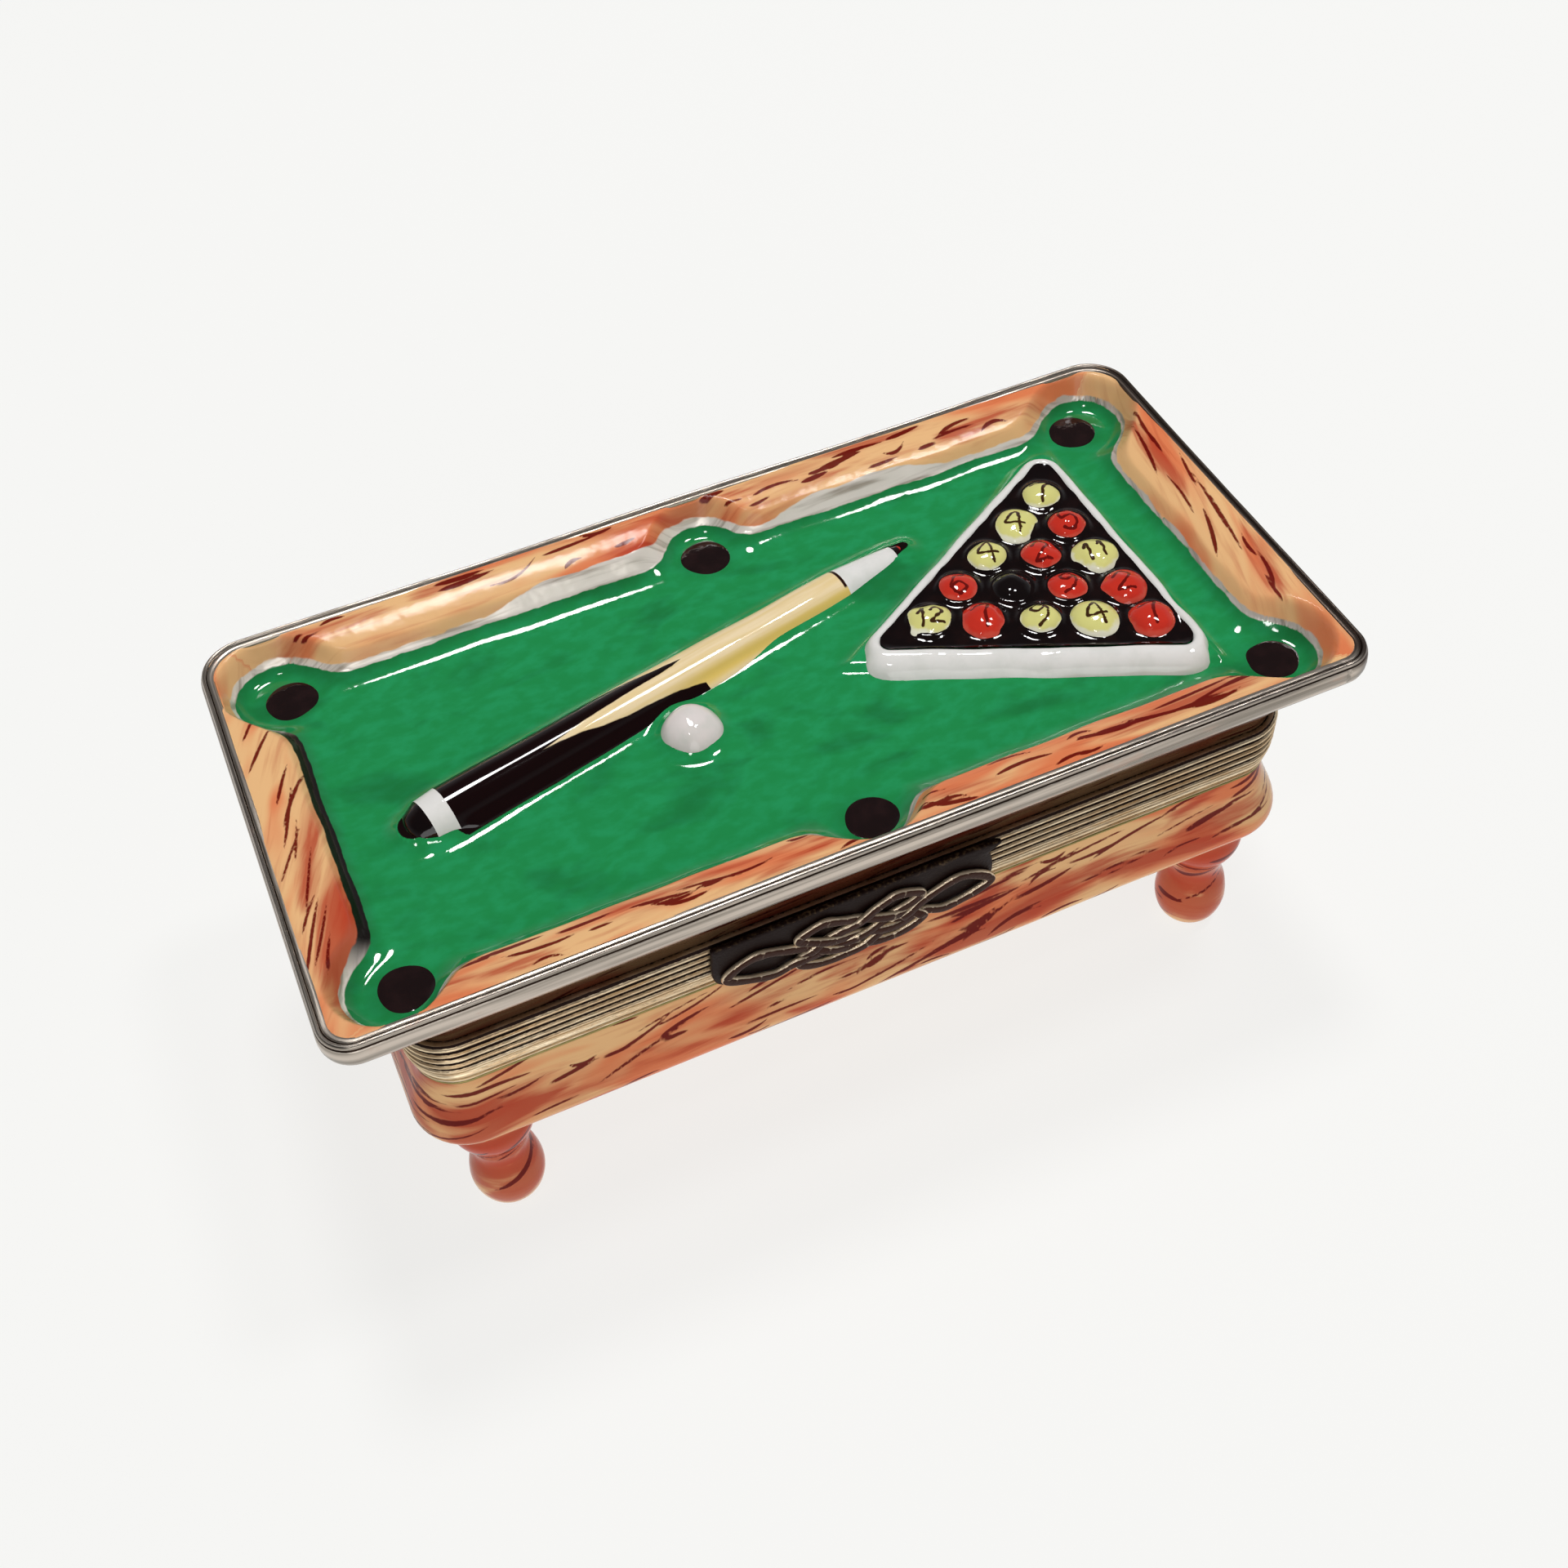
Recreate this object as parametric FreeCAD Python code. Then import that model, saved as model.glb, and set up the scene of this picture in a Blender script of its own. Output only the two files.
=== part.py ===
import FreeCAD, Part
import math
import os

# Hinged porcelain trinket box in the form of a pool table. Millimetres.
# +X runs along the table's length, +Y to the hinge at the back, +Z up.
# The origin is the centre of the footprint, on the surface that the feet stand on.
# Base: porcelain tray on four turned feet, with a ribbed brass rim round its mouth.
# Lid: porcelain table top with a hollow neck, a second brass rim, and the game in relief.

# ---- driving dimensions ----------------------------------------------------
TABLE_LENGTH = 95.0
TABLE_WIDTH = 47.6
TABLE_CORNER = 4.0
FELT_Z = 34.9
RIM_TOP_Z = 38.3
BAND_HEIGHT = 2.7
BAND_WIDTH = 1.3

SEAM_Z = 26.8
SEAM_GAP = 0.2
MOUNT_LENGTH = 83.6
MOUNT_WIDTH = 43.0
MOUNT_CORNER = 4.5
LOWER_MOUNT_HEIGHT = 2.9
UPPER_MOUNT_HEIGHT = 3.3
MOUNT_SKIN = 0.9
MOUNT_LIP = 0.6
RIB_COUNT = 3
RIB_DEPTH = 0.3
MOUNT_TAPER = 0.6

BODY_BOTTOM_Z = 15.5
BODY_FLARE = 1.2
WALL = 3.0
CAVITY_CORNER = 2.5

FOOT_X = 36.7
FOOT_Y = 17.2

HINGE_RADIUS = 1.0
HINGE_GAP = 0.2
PIN_RADIUS = 0.5
PIN_CLEARANCE = 0.04
KNUCKLE_COUNT = 5
KNUCKLE_LENGTH = 4.6
KNUCKLE_END_GAP = 0.15
LEAF_GAP = 0.25
LEAF_HEIGHT = 2.6
LEAF_THICKNESS = 0.6

RAIL_NOSE_X = 41.4
RAIL_NOSE_Y = 18.1
RAIL_NOSE_Z = 36.4
POCKET_X = 41.2
POCKET_Y = 18.2
CORNER_POCKET_RADIUS = 4.1
SIDE_POCKET_RADIUS = 3.7
NOSE_ROUNDING = 2.6
POCKET_DISC_RADIUS = 2.4
POCKET_DISC_HEIGHT = 0.12
POCKET_DISCS = (
    ("front_left", -39.8, -17.6), ("front_middle", 1.0, -18.2), ("front_right", 40.9, -17.5),
    ("back_left", -40.4, 17.3), ("back_middle", 0.4, 17.7), ("back_right", 40.4, 17.9))

CUE_START = (-35.5, -2.7)
CUE_ANGLE = 13.4
CUE_SINK = 0.3
CUE_BALL_RADIUS = 2.87
CUE_BALL_SINK = 0.63
CUE_BALL_PLACE = (-9.1, -2.55)

RACK_CORNERS = ((8.9, -1.6), (35.0, 14.4), (35.4, -14.0))
RACK_RIM = 0.8
RACK_FOOT = 1.65
RACK_HEIGHT = 1.5
RACK_ROUNDING = 1.4
RACK_BED_HEIGHT = 1.3
BALL_CORNERS = ((15.05, -0.75), (32.25, 9.5), (33.15, -9.4))
BALL_FOOT_RADIUS = 1.95
BALL_HEIGHT = 1.0
BALL_ROWS = 5

CLASP_X = -2.5
CLASP_LENGTH = 26.6
CLASP_BOTTOM_Z = 23.4
CLASP_TOP_Z = 30.6
CLASP_THICKNESS = 0.7
CLASP_CLEARANCE = 0.3
ROPE_WIDTH = 1.1
ROPE_HEIGHT = 0.8
STUD_RADIUS = 0.35
STUD_LENGTH = 2.4
TONGUE_LENGTH = 3.0
TONGUE_HEIGHT = 0.6
TONGUE_DEPTH = 0.15
TONGUE_GAP = 0.15

# ---- derived dimensions ----------------------------------------------------
half_length = TABLE_LENGTH / 2
half_width = TABLE_WIDTH / 2
mount_x = MOUNT_LENGTH / 2
mount_y = MOUNT_WIDTH / 2
lower_mount_top = SEAM_Z - SEAM_GAP / 2
lower_mount_bottom = lower_mount_top - LOWER_MOUNT_HEIGHT
upper_mount_bottom = SEAM_Z + SEAM_GAP / 2
upper_mount_top = upper_mount_bottom + UPPER_MOUNT_HEIGHT
band_bottom = RIM_TOP_Z - BAND_HEIGHT
hinge_y = mount_y + HINGE_RADIUS + HINGE_GAP
clasp_back_y = -mount_y
big = 4 * TABLE_LENGTH


# ---- helpers ---------------------------------------------------------------
def rounded_wire(half_x, half_y, corner, z):
    """Closed rectangle wire with round corners, counterclockwise from the lower right side."""
    r = corner
    d = r * (1 - math.cos(math.pi / 4))
    xi, yi = half_x - r, half_y - r
    edges = []
    for sx, sy in ((1, -1), (1, 1), (-1, 1), (-1, -1)):
        mid = FreeCAD.Vector(sx * (half_x - d), sy * (half_y - d), z)
        on_x = FreeCAD.Vector(sx * half_x, sy * yi, z)
        on_y = FreeCAD.Vector(sx * xi, sy * half_y, z)
        first, last = (on_y, on_x) if sx * sy < 0 else (on_x, on_y)
        if edges:
            edges.append(Part.LineSegment(edges[-1].Vertexes[-1].Point, first).toShape())
        edges.append(Part.Arc(first, mid, last).toShape())
    edges.append(Part.LineSegment(edges[-1].Vertexes[-1].Point, edges[0].Vertexes[0].Point).toShape())
    return Part.Wire(edges)


def stack(levels):
    """Solid through round-cornered rectangles given from the bottom up as (z, half_x, half_y, corner)."""
    wires = [rounded_wire(half_x, half_y, corner, z) for z, half_x, half_y, corner in levels]
    return Part.makeLoft(wires, True, True)


def turned(profile, x, y):
    """Solid of revolution about a vertical axis, from a list of (radius, z) points joined by a spline."""
    points = [FreeCAD.Vector(r, 0, z) for r, z in profile]
    curve = Part.BSplineCurve()
    curve.interpolate(points)
    top = FreeCAD.Vector(0, 0, points[-1].z)
    bottom = FreeCAD.Vector(0, 0, points[0].z)
    outline = Part.Wire([
        curve.toShape(),
        Part.LineSegment(points[-1], top).toShape(),
        Part.LineSegment(top, bottom).toShape(),
        Part.LineSegment(bottom, points[0]).toShape(),
    ])
    solid = Part.Face(outline).revolve(FreeCAD.Vector(), FreeCAD.Vector(0, 0, 1), 360)
    solid.translate(FreeCAD.Vector(x, y, 0))
    return solid


def box_between(low, high):
    size = FreeCAD.Vector(*high) - FreeCAD.Vector(*low)
    return Part.makeBox(size.x, size.y, size.z, FreeCAD.Vector(*low))


def above(z):
    """Half space above a height, as a large box."""
    return box_between((-big, -big, z), (big, big, big))


def export(shape, name):
    solids = shape.Solids
    whole = solids[0] if len(solids) == 1 else Part.makeCompound(solids)
    whole.exportStep("parts/%s.step" % name)


# ---- brass mounts ----------------------------------------------------------
def rib_levels(bottom, top, taper_bottom, taper_top):
    """Levels of a ribbed skin: a crest in the middle of each rib and a groove at each side of it."""
    levels = []
    steps = 2 * RIB_COUNT
    for i in range(steps + 1):
        share = i / steps
        inset = taper_bottom + (taper_top - taper_bottom) * share
        inset += 0.0 if i % 2 else RIB_DEPTH
        z = bottom + (top - bottom) * share
        levels.append((z, mount_x - inset, mount_y - inset, MOUNT_CORNER - inset))
    return levels


def mount_ring(bottom, top, taper_bottom, taper_top, lip_at_top):
    """Ribbed band outside the porcelain rim, with a flat lip turned in over the rim's edge."""
    skin = MOUNT_SKIN + max(taper_bottom, taper_top)
    ring = stack(rib_levels(bottom, top, taper_bottom, taper_top))
    rim = (mount_x - skin, mount_y - skin, MOUNT_CORNER - skin)
    mouth = (mount_x - skin - WALL, mount_y - skin - WALL, CAVITY_CORNER)
    if lip_at_top:
        seat = (bottom - 1, top - MOUNT_LIP)
    else:
        seat = (bottom + MOUNT_LIP, top + 1)
    ring = ring.cut(stack([(seat[0], *rim), (seat[1], *rim)]))
    return ring.cut(stack([(bottom - 1, *mouth), (top + 1, *mouth)]))


def make_mounts():
    lower = mount_ring(lower_mount_bottom, lower_mount_top, MOUNT_TAPER, 0.0, True)
    export(lower, "lower_mount")
    upper = mount_ring(upper_mount_bottom, upper_mount_top, 0.0, 0.0, False)
    export(upper, "upper_mount")
    return lower, upper


# ---- porcelain base --------------------------------------------------------
def make_body():
    skin = MOUNT_SKIN + MOUNT_TAPER
    rim_x, rim_y, rim_r = mount_x - skin, mount_y - skin, MOUNT_CORNER - skin
    rim_top = lower_mount_top - MOUNT_LIP
    rim_bottom = lower_mount_bottom
    waist_x, waist_y = mount_x - MOUNT_TAPER, mount_y - MOUNT_TAPER
    flare_x, flare_y = mount_x + BODY_FLARE, mount_y + BODY_FLARE
    shell = stack([
        (BODY_BOTTOM_Z, flare_x - 2.2, flare_y - 2.2, 4.0),
        (BODY_BOTTOM_Z + 0.35, flare_x - 1.1, flare_y - 1.1, 4.8),
        (BODY_BOTTOM_Z + 1.0, flare_x - 0.35, flare_y - 0.35, 5.2),
        (BODY_BOTTOM_Z + 2.0, flare_x, flare_y, 5.4),
        (BODY_BOTTOM_Z + 3.4, flare_x - 0.3, flare_y - 0.3, 5.2),
        (BODY_BOTTOM_Z + 5.4, flare_x - 1.1, flare_y - 1.1, 4.8),
        (rim_bottom, waist_x, waist_y, 4.4),
    ])
    shell = shell.fuse(stack([(rim_bottom - 0.5, rim_x, rim_y, rim_r), (rim_top, rim_x, rim_y, rim_r)]))
    mouth_x, mouth_y = rim_x - WALL, rim_y - WALL
    floor_z = BODY_BOTTOM_Z + WALL
    cavity = stack([
        (floor_z, mouth_x - 1.0, mouth_y - 1.0, CAVITY_CORNER),
        (floor_z + 1.0, mouth_x, mouth_y, CAVITY_CORNER),
        (SEAM_Z + 1.0, mouth_x, mouth_y, CAVITY_CORNER),
    ])
    export(shell.cut(cavity).removeSplitter(), "body_shell")


def make_feet():
    profile = [
        (1.7, 0.0), (2.9, 0.9), (3.5, 3.3), (3.2, 5.3), (2.6, 7.4),
        (2.9, 9.2), (3.8, 11.3), (4.0, 12.7), (3.7, 14.2), (3.5, BODY_BOTTOM_Z),
    ]
    for name, x, y in (
        ("foot_front_left", -FOOT_X, -FOOT_Y),
        ("foot_front_right", FOOT_X, -FOOT_Y),
        ("foot_back_left", -FOOT_X, FOOT_Y),
        ("foot_back_right", FOOT_X, FOOT_Y),
    ):
        export(turned(profile, x, y), name)


# ---- porcelain lid ---------------------------------------------------------
def pocket_recesses():
    """Upright cylinders that open the felt's pan at the six pockets."""
    height = RIM_TOP_Z + 1 - FELT_Z
    for x in (-POCKET_X, 0, POCKET_X):
        radius = CORNER_POCKET_RADIUS if x else SIDE_POCKET_RADIUS
        for y in (-POCKET_Y, POCKET_Y):
            yield Part.makeCylinder(radius, height, FreeCAD.Vector(x, y, FELT_Z))


def felt_pan():
    """The space above the felt and inside the rails' noses, pockets included."""
    pan = box_between((-RAIL_NOSE_X, -RAIL_NOSE_Y, FELT_Z), (RAIL_NOSE_X, RAIL_NOSE_Y, RIM_TOP_Z + 1))
    for recess in pocket_recesses():
        pan = pan.fuse(recess)
    pan = pan.removeSplitter()
    noses = [e for e in pan.Edges if is_nose(e)]
    return pan.makeFillet(NOSE_ROUNDING, noses)


def is_nose(edge):
    """True on a vertical edge where a rail's front meets a pocket recess."""
    a, b = edge.Vertexes[0].Point, edge.Vertexes[-1].Point
    vertical = abs(a.z - b.z) > 1 and abs(a.x - b.x) + abs(a.y - b.y) < 0.01
    on_rail = abs(abs(a.y) - RAIL_NOSE_Y) < 0.01 or abs(abs(a.x) - RAIL_NOSE_X) < 0.01
    return vertical and on_rail and edge.Curve.TypeId == "Part::GeomLine"


def make_lid():
    inner_x, inner_y = half_length - BAND_WIDTH, half_width - BAND_WIDTH
    inner_r = TABLE_CORNER - BAND_WIDTH
    rail_top = RIM_TOP_Z - 0.15
    neck_x, neck_y, neck_r = mount_x - MOUNT_SKIN, mount_y - MOUNT_SKIN, MOUNT_CORNER - MOUNT_SKIN
    neck_bottom = upper_mount_bottom + MOUNT_LIP
    lid = stack([(band_bottom, inner_x, inner_y, inner_r), (rail_top, inner_x, inner_y, inner_r)])
    lid = lid.fuse(stack([
        (neck_bottom, neck_x, neck_y, neck_r),
        (upper_mount_top + 0.6, neck_x, neck_y, neck_r),
        (upper_mount_top + 2.6, neck_x + 0.6, neck_y + 0.3, neck_r + 0.3),
        (band_bottom - 1.3, inner_x - 2.4, inner_y - 0.9, inner_r + 1.2),
        (band_bottom, inner_x - 0.4, inner_y - 0.1, inner_r),
    ]))
    rails = stack([
        (RAIL_NOSE_Z, RAIL_NOSE_X + 0.3, RAIL_NOSE_Y + 0.3, 1.0),
        (rail_top, inner_x - 0.2, inner_y - 0.2, 1.8),
        (rail_top + 1.0, inner_x, inner_y, 2.0),
    ])
    mouth_x, mouth_y = neck_x - WALL, neck_y - WALL
    hollow = stack([
        (SEAM_Z - 1.0, mouth_x, mouth_y, CAVITY_CORNER),
        (FELT_Z - WALL - 1.0, mouth_x, mouth_y, CAVITY_CORNER),
        (FELT_Z - WALL, mouth_x - 1.0, mouth_y - 1.0, CAVITY_CORNER),
    ])
    lid = lid.cut(rails).cut(felt_pan()).cut(hollow)
    export(lid.removeSplitter(), "lid_shell")


def make_band():
    outer = [
        (band_bottom, half_length - 0.9, half_width - 0.9, TABLE_CORNER - 0.9),
        (band_bottom + 0.3, half_length - 0.3, half_width - 0.3, TABLE_CORNER - 0.3),
        (band_bottom + 0.9, half_length, half_width, TABLE_CORNER),
        (RIM_TOP_Z - 1.0, half_length, half_width, TABLE_CORNER),
        (RIM_TOP_Z - 0.3, half_length - 0.3, half_width - 0.3, TABLE_CORNER - 0.3),
        (RIM_TOP_Z, half_length - 0.9, half_width - 0.9, TABLE_CORNER - 0.9),
    ]
    inside = (half_length - BAND_WIDTH, half_width - BAND_WIDTH, TABLE_CORNER - BAND_WIDTH)
    core = stack([(band_bottom - 1, *inside), (RIM_TOP_Z + 1, *inside)])
    export(stack(outer).cut(core), "rim_band")


def make_pockets():
    for name, x, y in POCKET_DISCS:
        disc = Part.makeCylinder(POCKET_DISC_RADIUS, POCKET_DISC_HEIGHT, FreeCAD.Vector(x, y, FELT_Z))
        export(disc, "pocket_" + name)


# ---- the game in relief ----------------------------------------------------
def cue_segment(start, end, start_radius, end_radius):
    """Half-round length of the cue between two distances from its butt end."""
    turn = math.radians(CUE_ANGLE)
    along = FreeCAD.Vector(math.cos(turn), math.sin(turn), 0)
    root = FreeCAD.Vector(CUE_START[0], CUE_START[1], FELT_Z - CUE_SINK) + along * start
    cone = Part.makeCone(start_radius, end_radius, end - start, root, along)
    return cone.common(above(FELT_Z))


def make_cue():
    for name, start, end, start_radius, end_radius in (
        ("cue_bumper", 0.0, 2.1, 1.6, 2.5),
        ("cue_ring", 2.1, 4.1, 2.65, 2.75),
        ("cue_butt", 4.1, 24.0, 2.7, 2.45),
        ("cue_shaft", 24.0, 46.9, 2.45, 2.0),
        ("cue_ferrule", 46.9, 53.3, 2.0, 1.35),
        ("cue_tip", 53.3, 55.2, 1.35, 0.9),
    ):
        export(cue_segment(start, end, start_radius, end_radius), name)


def make_cue_ball():
    centre = FreeCAD.Vector(CUE_BALL_PLACE[0], CUE_BALL_PLACE[1], FELT_Z - CUE_BALL_SINK)
    export(Part.makeSphere(CUE_BALL_RADIUS, centre).common(above(FELT_Z)), "cue_ball")


def rack_prism(growth, low, high, rounding):
    """Upright prism on the rack's triangle, its sides moved outwards by growth, with round corners."""
    corners = [FreeCAD.Vector(x, y, 0) for x, y in RACK_CORNERS]
    sides = [(corners[(i + 1) % 3] - corners[(i + 2) % 3]).Length for i in range(3)]
    around = sum(sides)
    centre = sum((c * (side / around) for c, side in zip(corners, sides)), FreeCAD.Vector())
    area = (corners[1] - corners[0]).cross(corners[2] - corners[0]).Length / 2
    scale = 1 + growth / (2 * area / around)
    moved = [centre + (c - centre) * scale + FreeCAD.Vector(0, 0, low) for c in corners]
    prism = Part.Face(Part.makePolygon(moved + moved[:1])).extrude(FreeCAD.Vector(0, 0, high - low))
    uprights = [e for e in prism.Edges if abs(e.Vertexes[0].Z - e.Vertexes[-1].Z) > 0.01]
    return prism.makeFillet(rounding, uprights)


def make_rack():
    top = FELT_Z + RACK_HEIGHT
    outer = rack_prism(RACK_FOOT, FELT_Z, top, RACK_ROUNDING)
    top_edges = [e for e in outer.Edges if min(v.Z for v in e.Vertexes) > top - 0.01]
    outer = outer.makeChamfer(RACK_FOOT - RACK_RIM, top_edges)
    export(outer.cut(rack_prism(0, FELT_Z - 1, top + 1, RACK_ROUNDING / 2)), "rack_frame")
    export(rack_prism(0, FELT_Z, FELT_Z + RACK_BED_HEIGHT, RACK_ROUNDING / 2), "rack_bed")


def make_balls():
    """Fifteen domes between three corner balls, numbered row by row from the rack's left corner."""
    first, back, front = [FreeCAD.Vector(x, y, 0) for x, y in BALL_CORNERS]
    bed = FELT_Z + RACK_BED_HEIGHT
    radius = (BALL_FOOT_RADIUS ** 2 + BALL_HEIGHT ** 2) / (2 * BALL_HEIGHT)
    level = FreeCAD.Vector(0, 0, bed + BALL_HEIGHT - radius)
    number = 0
    for row in range(BALL_ROWS):
        for place in range(row + 1):
            number += 1
            along = (back - first) * (row / (BALL_ROWS - 1))
            across = (front - back) * (place / (BALL_ROWS - 1))
            ball = Part.makeSphere(radius, first + along + across + level)
            export(ball.common(above(bed)), "ball_%02d" % number)


# ---- hinge -----------------------------------------------------------------
def knuckle(index, leaf_up, mount):
    """Tube on the hinge line with a leaf that fills the ribs on the back of its own mount."""
    length = KNUCKLE_LENGTH - KNUCKLE_END_GAP
    start = (index - KNUCKLE_COUNT / 2) * KNUCKLE_LENGTH + KNUCKLE_END_GAP / 2
    along = FreeCAD.Vector(1, 0, 0)
    root = FreeCAD.Vector(start, hinge_y, SEAM_Z)
    low, high = (LEAF_GAP, LEAF_HEIGHT) if leaf_up else (-LEAF_HEIGHT, -LEAF_GAP)
    leaf = box_between(
        (start, mount_y - MOUNT_SKIN, SEAM_Z + low),
        (start + length, mount_y + LEAF_THICKNESS, SEAM_Z + high))
    tube = Part.makeCylinder(HINGE_RADIUS, length, root, along).fuse(leaf.cut(mount))
    return tube.cut(Part.makeCylinder(PIN_RADIUS + PIN_CLEARANCE, length, root, along))


def make_hinge(lower_mount, upper_mount):
    for index, name, leaf_up in (
        (0, "base_knuckle_left", False),
        (1, "lid_knuckle_left", True),
        (2, "base_knuckle_centre", False),
        (3, "lid_knuckle_right", True),
        (4, "base_knuckle_right", False),
    ):
        export(knuckle(index, leaf_up, upper_mount if leaf_up else lower_mount), name)
    length = KNUCKLE_COUNT * KNUCKLE_LENGTH
    root = FreeCAD.Vector(-length / 2, hinge_y, SEAM_Z)
    export(Part.makeCylinder(PIN_RADIUS, length, root, FreeCAD.Vector(1, 0, 0)), "hinge_pin")


# ---- clasp -----------------------------------------------------------------
def oval_loop(x, z, half_x, half_z, turn):
    """Flat oval ring of rope width in the clasp's plane, before it is stood on the plate."""
    outer = Part.Face(Part.Wire(Part.Ellipse(FreeCAD.Vector(), half_x, half_z).toShape()))
    inner = Part.Face(Part.Wire(
        Part.Ellipse(FreeCAD.Vector(), half_x - ROPE_WIDTH, half_z - ROPE_WIDTH).toShape()))
    ring = outer.cut(inner).extrude(FreeCAD.Vector(0, 0, ROPE_HEIGHT))
    ring.rotate(FreeCAD.Vector(), FreeCAD.Vector(0, 0, 1), turn)
    ring.rotate(FreeCAD.Vector(), FreeCAD.Vector(1, 0, 0), 90)
    ring.translate(FreeCAD.Vector(x, clasp_back_y - CLASP_THICKNESS, z))
    return ring


def make_clasp(lower_mount):
    left, right = CLASP_X - CLASP_LENGTH / 2, CLASP_X + CLASP_LENGTH / 2
    front = clasp_back_y - CLASP_THICKNESS
    plate = box_between((left, front, CLASP_BOTTOM_Z + 0.6), (right, clasp_back_y, CLASP_TOP_Z))
    corners = [e for e in plate.Edges if abs(e.Vertexes[0].Y - e.Vertexes[-1].Y) > 0.1]
    plate = plate.makeFillet(1.2, corners)
    relief = box_between(
        (left - 1, clasp_back_y - CLASP_CLEARANCE, CLASP_BOTTOM_Z - 1),
        (right + 1, 0, upper_mount_bottom + 0.1))
    export(plate.cut(relief), "clasp_plate")

    middle = (CLASP_BOTTOM_Z + CLASP_TOP_Z) / 2 - 0.5
    rope = oval_loop(CLASP_X - 8.6, middle, 4.7, 2.2, 0)
    for x, z, half_x, half_z, turn in (
        (CLASP_X + 8.6, middle, 4.7, 2.2, 0),
        (CLASP_X - 2.6, middle + 0.5, 5.4, 2.3, -12),
        (CLASP_X + 2.6, middle + 0.5, 5.4, 2.3, 12),
        (CLASP_X, middle - 0.6, 5.6, 2.3, 0),
    ):
        rope = rope.fuse(oval_loop(x, z, half_x, half_z, turn))
    export(rope.removeSplitter(), "clasp_rope")

    stud_z = lower_mount_top - 1.1
    stud_y = -mount_y + 0.25
    start = FreeCAD.Vector(CLASP_X - STUD_LENGTH / 2, stud_y, stud_z)
    stud = Part.makeCylinder(STUD_RADIUS, STUD_LENGTH, start, FreeCAD.Vector(1, 0, 0))
    export(stud.cut(lower_mount), "catch_stud")
    tongue_back = clasp_back_y - CLASP_CLEARANCE
    tongue_top = stud_z - STUD_RADIUS - TONGUE_GAP
    tongue = box_between(
        (CLASP_X - TONGUE_LENGTH / 2, tongue_back, tongue_top - TONGUE_HEIGHT),
        (CLASP_X + TONGUE_LENGTH / 2, tongue_back + TONGUE_DEPTH, tongue_top))
    export(tongue, "clasp_tongue")


os.makedirs("parts", exist_ok=True)
make_body()
make_feet()
lower_mount_shape, upper_mount_shape = make_mounts()
make_lid()
make_band()
make_pockets()
make_cue()
make_cue_ball()
make_rack()
make_balls()
make_hinge(lower_mount_shape, upper_mount_shape)
make_clasp(lower_mount_shape)
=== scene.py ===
import math

import bpy
import numpy as np
from mathutils import Matrix, Vector


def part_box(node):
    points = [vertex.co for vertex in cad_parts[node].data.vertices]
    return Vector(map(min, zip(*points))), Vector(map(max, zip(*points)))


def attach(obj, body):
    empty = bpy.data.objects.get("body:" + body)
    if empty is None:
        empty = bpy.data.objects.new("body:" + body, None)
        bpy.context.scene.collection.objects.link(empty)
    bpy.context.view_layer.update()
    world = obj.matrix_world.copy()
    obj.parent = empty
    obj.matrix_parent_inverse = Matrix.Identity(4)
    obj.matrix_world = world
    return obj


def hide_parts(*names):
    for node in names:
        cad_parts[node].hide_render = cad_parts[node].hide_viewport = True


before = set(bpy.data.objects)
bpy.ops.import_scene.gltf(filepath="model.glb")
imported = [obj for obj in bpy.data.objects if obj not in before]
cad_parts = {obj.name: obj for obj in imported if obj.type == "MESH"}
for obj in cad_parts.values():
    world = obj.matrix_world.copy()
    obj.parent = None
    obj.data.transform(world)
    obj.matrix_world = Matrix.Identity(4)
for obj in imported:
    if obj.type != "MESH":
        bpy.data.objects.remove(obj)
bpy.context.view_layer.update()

# Lengths in this script are millimetres in the CAD model's frame, and become metres in make_piece().
MM = 0.001


# ---- the frame's sizes -----------------------------------------------------
def box_mm(node):
    """Lowest and highest corner of a CAD node, in millimetres."""
    low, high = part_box(node)
    return np.array(low) / MM, np.array(high) / MM


def centre_mm(node):
    low, high = box_mm(node)
    return (low + high) / 2


BAND_LOW, BAND_HIGH = box_mm("rim_band")
HALF_X, HALF_Y = BAND_HIGH[0], BAND_HIGH[1]
RIM_TOP, RIM_BOTTOM = BAND_HIGH[2], BAND_LOW[2]
FELT = box_mm("cue_ball")[0][2]
MOUNT_X, MOUNT_Y = box_mm("upper_mount")[1][:2]
MOUNT_CORNER = 4.5
UPPER_LOW, UPPER_HIGH = box_mm("upper_mount")[0][2], box_mm("upper_mount")[1][2]
LOWER_LOW, LOWER_HIGH = box_mm("lower_mount")[0][2], box_mm("lower_mount")[1][2]
BODY_LOW, BODY_HIGH = box_mm("body_shell")
LID_LOW = box_mm("lid_shell")[0][2]


# ---- mesh helpers ----------------------------------------------------------
def wobble(points, wavelength, seed):
    """Smooth irregular field, about -1 to 1, at points of any dimension."""
    rng = np.random.default_rng(seed)
    p = np.asarray(points, float)
    waves = rng.normal(size=(7, p.shape[-1]))
    waves /= np.linalg.norm(waves, axis=1, keepdims=True)
    waves *= 2 * math.pi / wavelength * rng.uniform(0.6, 1.6, (7, 1))
    return np.sin(p @ waves.T + rng.uniform(0, 2 * math.pi, 7)).mean(-1) * 1.6


def smooth_step(value, low, high):
    t = np.clip((value - low) / (high - low), 0, 1)
    return t * t * (3 - 2 * t)


def smooth_min(a, b, k):
    h = np.maximum(k - np.abs(a - b), 0) / k
    return np.minimum(a, b) - h * h * k / 4


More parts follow.
